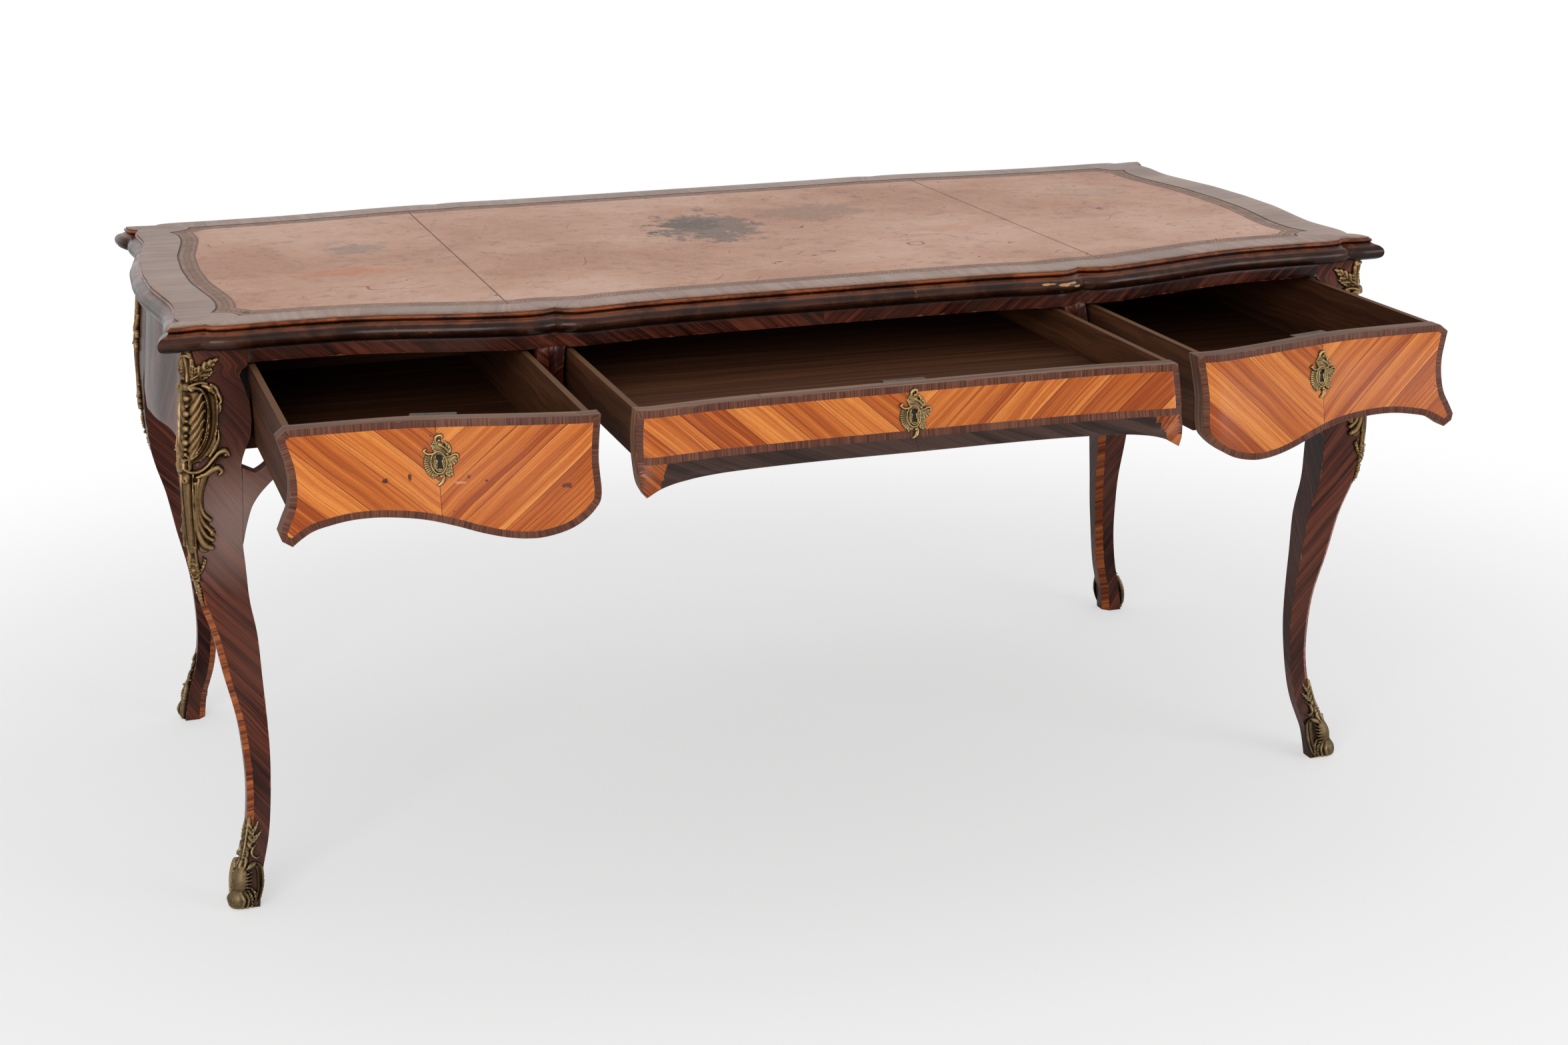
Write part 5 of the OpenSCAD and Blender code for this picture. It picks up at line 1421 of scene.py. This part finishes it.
# %% Strokes of the foot mount
FOOT_STROKES = [
    ("leaf", [(0, 1, 1.4, 3), (0, 12, 6, 4.4), (1, 26, 9, 5), (1, 40, 8, 5.4), (0, 54, 6, 6)]),
    ("round", [(0, 3, 1, 4.6), (0, 20, 1.4, 6), (0, 40, 1.8, 6.6), (0, 54, 2, 7)]),
    ("leaf", [(3, 26, 3, 4.6), (8, 16, 3.4, 4.6), (11.5, 6, 1, 3)]),
    ("leaf", [(4, 36, 3.4, 4.6), (11, 26, 4, 4.8), (17.5, 17, 1.2, 3)]),
    ("round", [(13, 34, 1.2, 4.4), (9.5, 39, 1.8, 5.4), (8.6, 45, 2, 6), (11.5, 50.5, 2, 6), (16.5, 52.5, 1.8, 5.6),
               (21.5, 49.5, 1.2, 4.6)]),
    ("leaf", [(-1, 40, 2.6, 6), (3, 48, 4, 7.4), (1, 57, 3, 7)]),
    # collar, its volute and the great scroll
    ("ribbed", [(0, 56, 7, 8), (0, 62, 8, 9.6), (0, 68, 7.4, 8)]),
    ("round", [(8, 66, 2, 8), (11, 62, 4.4, 9), (14, 60, 3.2, 8)]),
    ("hollow", [(12, 59, 3, 6.5), (19, 62, 3.8, 7), (24, 71, 4.2, 7), (26.5, 84, 4.2, 7), (26.5, 97, 4, 7),
                (23.5, 108, 3.6, 6.5), (19, 115, 2.4, 6)]),
    ("round", [(16, 57.5, 1.2, 7), (24, 63, 1.2, 7.6), (29.3, 76, 1.3, 7.8), (30, 92, 1.3, 7.8), (27, 106, 1.2, 7)]),
    # ribbed boss
    ("round", [(0, 66, 8, 8), (0, 80, 11.5, 10.5), (0, 93, 10, 9)]),
    # toe
    ("round", [(0, 92, 8, 9), (0, 103, 12, 14), (0, 112, 11.5, 13), (0, 117.5, 9, 9)]),
    ("round", [(8, 94, 2.2, 6.5), (12, 104, 3, 8), (11, 116, 2.6, 7)]),
    ("leaf", [(12, 93, 2.2, 5.6), (16.5, 103, 3.2, 6.6), (16, 116, 2.4, 6)]),
    ("leaf", [(15, 90, 2, 5), (21, 98, 3, 6), (21, 112, 2.2, 5.6)]),
    ("round", [(3, 115, 3, 5), (14, 116, 2.6, 5), (22, 115.5, 2, 5)]),
]
FOOT_STROKES += [("round", [(9 + 0.3 * k, 72 + 4 * k, 1.6, 8), (14.5 - abs(k - 2) * 0.7, 69 + 5 * k, 1.7, 6.5)])
                 for k in range(6)]
FOOT_STROKES += [("round", [(2.2 * k, 93, 1.2, 10 - 0.5 * k), (4.2 * k, 104, 1.9, 14.6 - k),
                            (3.4 * k, 115, 1.5, 12 - k)]) for k in range(3)]
FOOT_BEADS = [(11, 62, 1.8, 10.4), (8.5, 18, 1.1, 5.6)]

STEP = 0.7
foot_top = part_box("sabot_front_left")[1].z
u, t = np.meshgrid(np.arange(-33, 33.5, STEP), np.arange(-2, foot_top / MM - 0.4, STEP))
foot_height = carved(FOOT_STROKES, FOOT_BEADS, np.abs(u), t)
for name in legs:
    casting(name.replace("leg", "sabot"), u, t, foot_height, corner_surface(name, foot_top), "carcass", STEP,
            metal=foot_bronze)
print("four foot mounts,", int((foot_height > EDGE_HIGH).sum()), "points each")

# %% [markdown]
# ### Escutcheons
# The lock plates are freely asymmetric: a curl and leaves at the top, a shell wing on the left, another with
# a scrolled tip on the right, and a doubled oval rim round the keyhole, with a pin above and below.

# %% Strokes of the escutcheon
PLATE_STROKES = [
    ("round", [(-3, 24, 2, 3), (-2.5, 28, 2.4, 3.6), (1, 30.5, 2.1, 4), (4, 30, 1.9, 4), (3.8, 27.5, 1.5, 3.6)]),
    ("leaf", [(-6.5, 21, 1.5, 2.4), (-4, 22.5, 3, 3.4), (1, 20, 3, 3.6), (5.5, 15, 2.4, 3)]),
    ("leaf", [(6.5, 24, 1, 2), (9, 20, 3, 3.6), (12, 14.5, 2.6, 3.4), (9, 9, 2.4, 3.4)]),
    ("round", [(2, 19, 2, 3.4), (7, 16, 2, 3.8), (10.5, 11, 1.6, 3.4)]),
    ("leaf", [(-8.5, 20, 0.9, 2), (-6, 17, 3, 3.2), (-4, 12, 3, 3)]),
    ("round", [(-2, 23, 3.4, 2.4), (0, 17, 7.5, 2.4), (2, 10, 8, 2.2)]),
    ("round", [(-3, 11, 1.6, 3.2), (-8, 9.4, 1.7, 3.8), (-13.5, 10, 1.8, 4), (-17, 13, 1.8, 3.8),
               (-14.4, 15, 1.5, 3.4)]),
    ("round", [(6, 5, 3, 2.8), (12, 2.5, 5.2, 2.6), (17, 5, 3.4, 2.8)]),
    ("round", [(6, 6, 1.3, 3.4), (12, 6.5, 1.3, 3.6), (16, 8.5, 1.5, 3.8), (19.6, 8.2, 1.7, 4), (20.4, 4, 1.3, 3.4)]),
    ("leaf", [(4, -5, 2.4, 3), (9, -9, 4, 3.4), (13.4, -15.5, 1.4, 2.4)]),
    ("leaf", [(3, -10, 2.4, 3), (7.5, -13.5, 3.4, 3.4), (11, -17.5, 1.4, 2.4)]),
    ("leaf", [(6, -2, 2, 3), (11, -5, 3, 3.2), (13, -9, 1.4, 2.6)]),
    ("leaf", [(-2, -13, 2.4, 3), (-6, -14.5, 3.2, 3.2), (-8.6, -18, 1.2, 2.4)]),
    ("round", [(1.5, -14, 3.4, 2.8), (2.6, -19, 2.8, 3), (0.6, -23, 2.4, 3), (-3.6, -26, 1.4, 2.8)]),
    ("round", [(3.6, -18, 1, 3.6), (2.4, -22.6, 1, 3.8), (-2.4, -26, 0.9, 3.2)]),
]
# The keyhole: how far up its round lies, its radius, the half widths of its slot and where that ends, in mm
KEYHOLE_UP, KEYHOLE_ROUND, KEYHOLE_NECK, KEYHOLE_FOOT, KEYHOLE_LOW = 4.9, 3.3, 1.6, 2.8, -7.0
PLATE_EDGE = 0.5
STEP = 0.45
u, t = np.meshgrid(np.arange(-20, 22.6, STEP), np.arange(-27.6, 33, STEP))


def oval_rim(cu, ct, wide, tall, thick, high):
    """A round bead along an oval, in millimetres."""
    r = np.hypot((u - cu) / wide, (t - ct) / tall)
    d = np.abs(r - 1) * (wide + tall) / 2
    return np.where(d < thick, high * np.sqrt(np.clip(1 - (d / thick) ** 2, 0, 1)), 0)


# A fan of eleven ribs on the left, from 128 to 250 degrees, and a smaller one on the right
turn = (np.degrees(np.arctan2(t + 1.5, u + 3)) % 360 - 128) / (250 - 128)
rib = np.abs(np.sin(turn * 11 * math.pi))
away = np.hypot(u + 3, (t + 1.5) * 0.86)
left_wing = np.where((turn > 0) & (turn < 1) & (away < 14.6 + rib), (1.5 + rib) * np.clip((16 - away) / 2, 0.5, 1.1), 0)
rib = np.abs(np.sin(np.degrees(np.arctan2(t - 9, u - 8)) / 16 * math.pi))
right_wing = np.where(np.hypot(u - 12.5, (t - 2.2) * 1.1) < 6.6 + rib * 0.8, 1.6 + rib, 0)
ground = np.where(np.hypot((u + 1.2) / 9.4, (t + 0.5) / 13.6) < 1, 1.5, 0)
plate_height = np.maximum.reduce([
    carved(PLATE_STROKES, [(1, 25, 1.9, 4.6), (0.6, -16, 1.9, 4.6)], u, t), left_wing, right_wing, ground,
    oval_rim(-1.2, -0.5, 8.6, 12.6, 1.35, 3.6), oval_rim(-0.5, -1.0, 5.6, 9.6, 1.0, 3.0)])
slot_half = KEYHOLE_NECK + (KEYHOLE_FOOT - KEYHOLE_NECK) * np.clip((3 - t) / (3 - KEYHOLE_LOW), 0, 1)
keyhole = (np.hypot(u, t - KEYHOLE_UP) < KEYHOLE_ROUND) | ((np.abs(u) < slot_half) & (t < 4) & (t > KEYHOLE_LOW))
plate_height = np.where(keyhole, 0, plate_height)


def drawer_surface(part):
    """The face of a drawer round its keyhole, as places and outward ways for numbers in millimetres."""
    low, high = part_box(part + "_escutcheon")
    x = (low.x + high.x) / 2 - 0.6 * MM
    z = low.z + 26.6 * MM

    def spot(u, t):
        p = on_front(np.stack([x + u.ravel() * MM, z + t.ravel() * MM], 1), -opened[part + "_drawer"])
        return p.reshape(*u.shape, 3)

    def base(u, t):
        return spot(u, t), unit(np.cross(spot(u + 1, t) - spot(u - 1, t), spot(u, t + 1) - spot(u, t - 1)))

    return base


# A near-black sheet behind each keyhole, a little wider than the hole: painted shade standing for the dark inside of
# the hole
keyhole_painted_shade, add = blank(bpy.data.materials.new("keyhole_painted_shade_sheet"))
fine = add("TexNoise", Vector=add("TexCoord", out="Object"), Scale=300.0)
hole_shade_tone = add("ValToRGB", (fine,), stops=((0.3, "#050302"), (0.7, "#120a06")))
surface(add, fine, 0.05, Base_Color=hole_shade_tone, Roughness=0.8)
wide, foot = KEYHOLE_ROUND * 1.15, KEYHOLE_FOOT * 1.2
hole_ring = [(wide * math.sin(a), KEYHOLE_UP - wide * math.cos(a)) for a in np.linspace(0.5, 2 * math.pi - 0.5, 22)]
hole_ring = np.array([(foot, KEYHOLE_LOW - 0.4), *hole_ring, (-foot, KEYHOLE_LOW - 0.4)])
for part in PARTS:
    base = drawer_surface(part)
    casting(part + "_escutcheon", u, t, plate_height, base, part + "_drawer", STEP, PLATE_EDGE, plate_bronze)

    def hole_face(p, high):
        place, outward = base(p[:, 0], p[:, 1])
        return place + outward * high * MM

    plate(part + "_keyhole", hole_ring, lambda p: hole_face(p, 0.3), lambda p: hole_face(p, 0.05), [keyhole_painted_shade] * 3,
          one_finish, lambda p, m, z, run, away: (p[0] * MM, p[1] * MM), part + "_drawer", None, "lock_steel",
          spacing=1.5, soft=0.05)
print("three escutcheons,", int((plate_height > PLATE_EDGE).sum()), "points each")

# %% [markdown]
# ## What the frame already shapes right
# Boards, runners and locks are plain pieces, so their solids stay. Each gets its finish, and a bevel of half a
# millimetre, since no real board has a knife edge.

# %% Finishes for plain pieces
SOFT_EDGE = 0.5 * MM
WELD = 1e-5
sides = [n for n in nodes if "_side_" in n]
plain = {
    oak_along: ["partition_left", "partition_right", "runners", "kickers", *sides],
    oak_across: ["top_board", "back_panel"] + [f"{d}_{part}" for d in PARTS for part in ("back", "bottom")],
    lock_brass: [n for n in nodes if n.endswith("lock_case")],
    lock_steel: [n for n in nodes if n.endswith("lock_bolt")],
    gilt_bronze: [n for n in nodes if n.startswith(("chute", "sabot")) or n.endswith("escutcheon")],
    pin_brass: ["mount_pins"],
}
for finish, names in plain.items():
    for name in names:
        node = nodes[name]
        for place in node.material_slots:
            place.material = finish
        node.modifiers.new("weld", "WELD").merge_threshold = WELD
        bevel = node.modifiers.new("bevel", "BEVEL")
        bevel.width = SOFT_EDGE
        bevel.segments = 2
        bevel.limit_method = "ANGLE"
print(sum(map(len, plain.values())), "solids finished")

# %% [markdown]
# ## Light and floor
# A product picture has a white sweep, a broad soft lamp above and to one side, and a weaker fill. The lamps
# stay at the level at which a colour renders as it is written. The world is white to the camera and in
# reflections, and dimmer as a light. The floor keeps the shadow and fades to the same white further out.

# %% World
scene.world, add = blank(bpy.data.worlds.new("studio"))
ray = add("LightPath").node.outputs
seen = add("Math.MAXIMUM", (ray["Is Camera Ray"], ray["Is Glossy Ray"]))
seen = add("Math.MAXIMUM", (seen, ray["Is Transmission Ray"]))
WORLD_LIGHT = 0.55
strength = add("MapRange", (seen, 0.0, 1.0, WORLD_LIGHT, 1.0))
add("OutputWorld", (add("Background", ("#ffffff", strength)),))


# %% Lamps
def lamp(name, place, target, wide, tall, watts):
    """A soft box that looks at a target."""
    light = bpy.data.lights.new(name, "AREA")
    light.shape = "RECTANGLE"
    light.size, light.size_y = wide, tall
    light.energy = watts
    holder = bpy.data.objects.new(name, light)
    holder.location = place
    holder.rotation_euler = (Vector(target) - Vector(place)).to_track_quat("-Z", "Y").to_euler()
    scene.collection.objects.link(holder)


lamp("key", (-2.4, -3.6, 2.0), (0, 0, 0.4), 2.4, 2.0, 85)
lamp("over", (0.4, 0.4, 3.4), (0, 0, 0.6), 3.0, 2.0, 8)
lamp("fill", (2.8, -3.0, 1.4), (0, 0, 0.4), 2.0, 1.6, 40)
print("three lamps")

# %% Floor
FLOOR_SIZE = 30
floor_mesh = bpy.data.meshes.new("floor")
bm = bmesh.new()
bmesh.ops.create_grid(bm, x_segments=8, y_segments=8, size=FLOOR_SIZE / 2)
bm.to_mesh(floor_mesh)
bm.free()
floor = bpy.data.objects.new("floor", floor_mesh)
scene.collection.objects.link(floor)
material, add = blank(bpy.data.materials.new("white_paper_sweep"))
place = add("TexCoord", out="Object")
far = add("VectorMath.LENGTH", (place,), out="Value")
fade = add("MapRange", (far, 1.1, 2.4, 0.5, 1.0), interpolation_type="SMOOTHSTEP")
ray = add("LightPath").node.outputs
seen = add("Math.MULTIPLY", (ray["Is Camera Ray"], fade))
fibre = add("TexNoise", Vector=place, Scale=400.0, Detail=2.0)
relief = add("Bump", Distance=0.05 * MM, Height=fibre)
paper = add("BsdfPrincipled", Base_Color="#f4f4f4", Roughness=0.9, Normal=relief)
glow = add("Emission", ("#ffffff", 1.0))
add("OutputMaterial", (add("MixShader", (seen, paper, glow)),))
floor_mesh.materials.append(material)

# %% View transform
scene.view_settings.view_transform = "Standard"
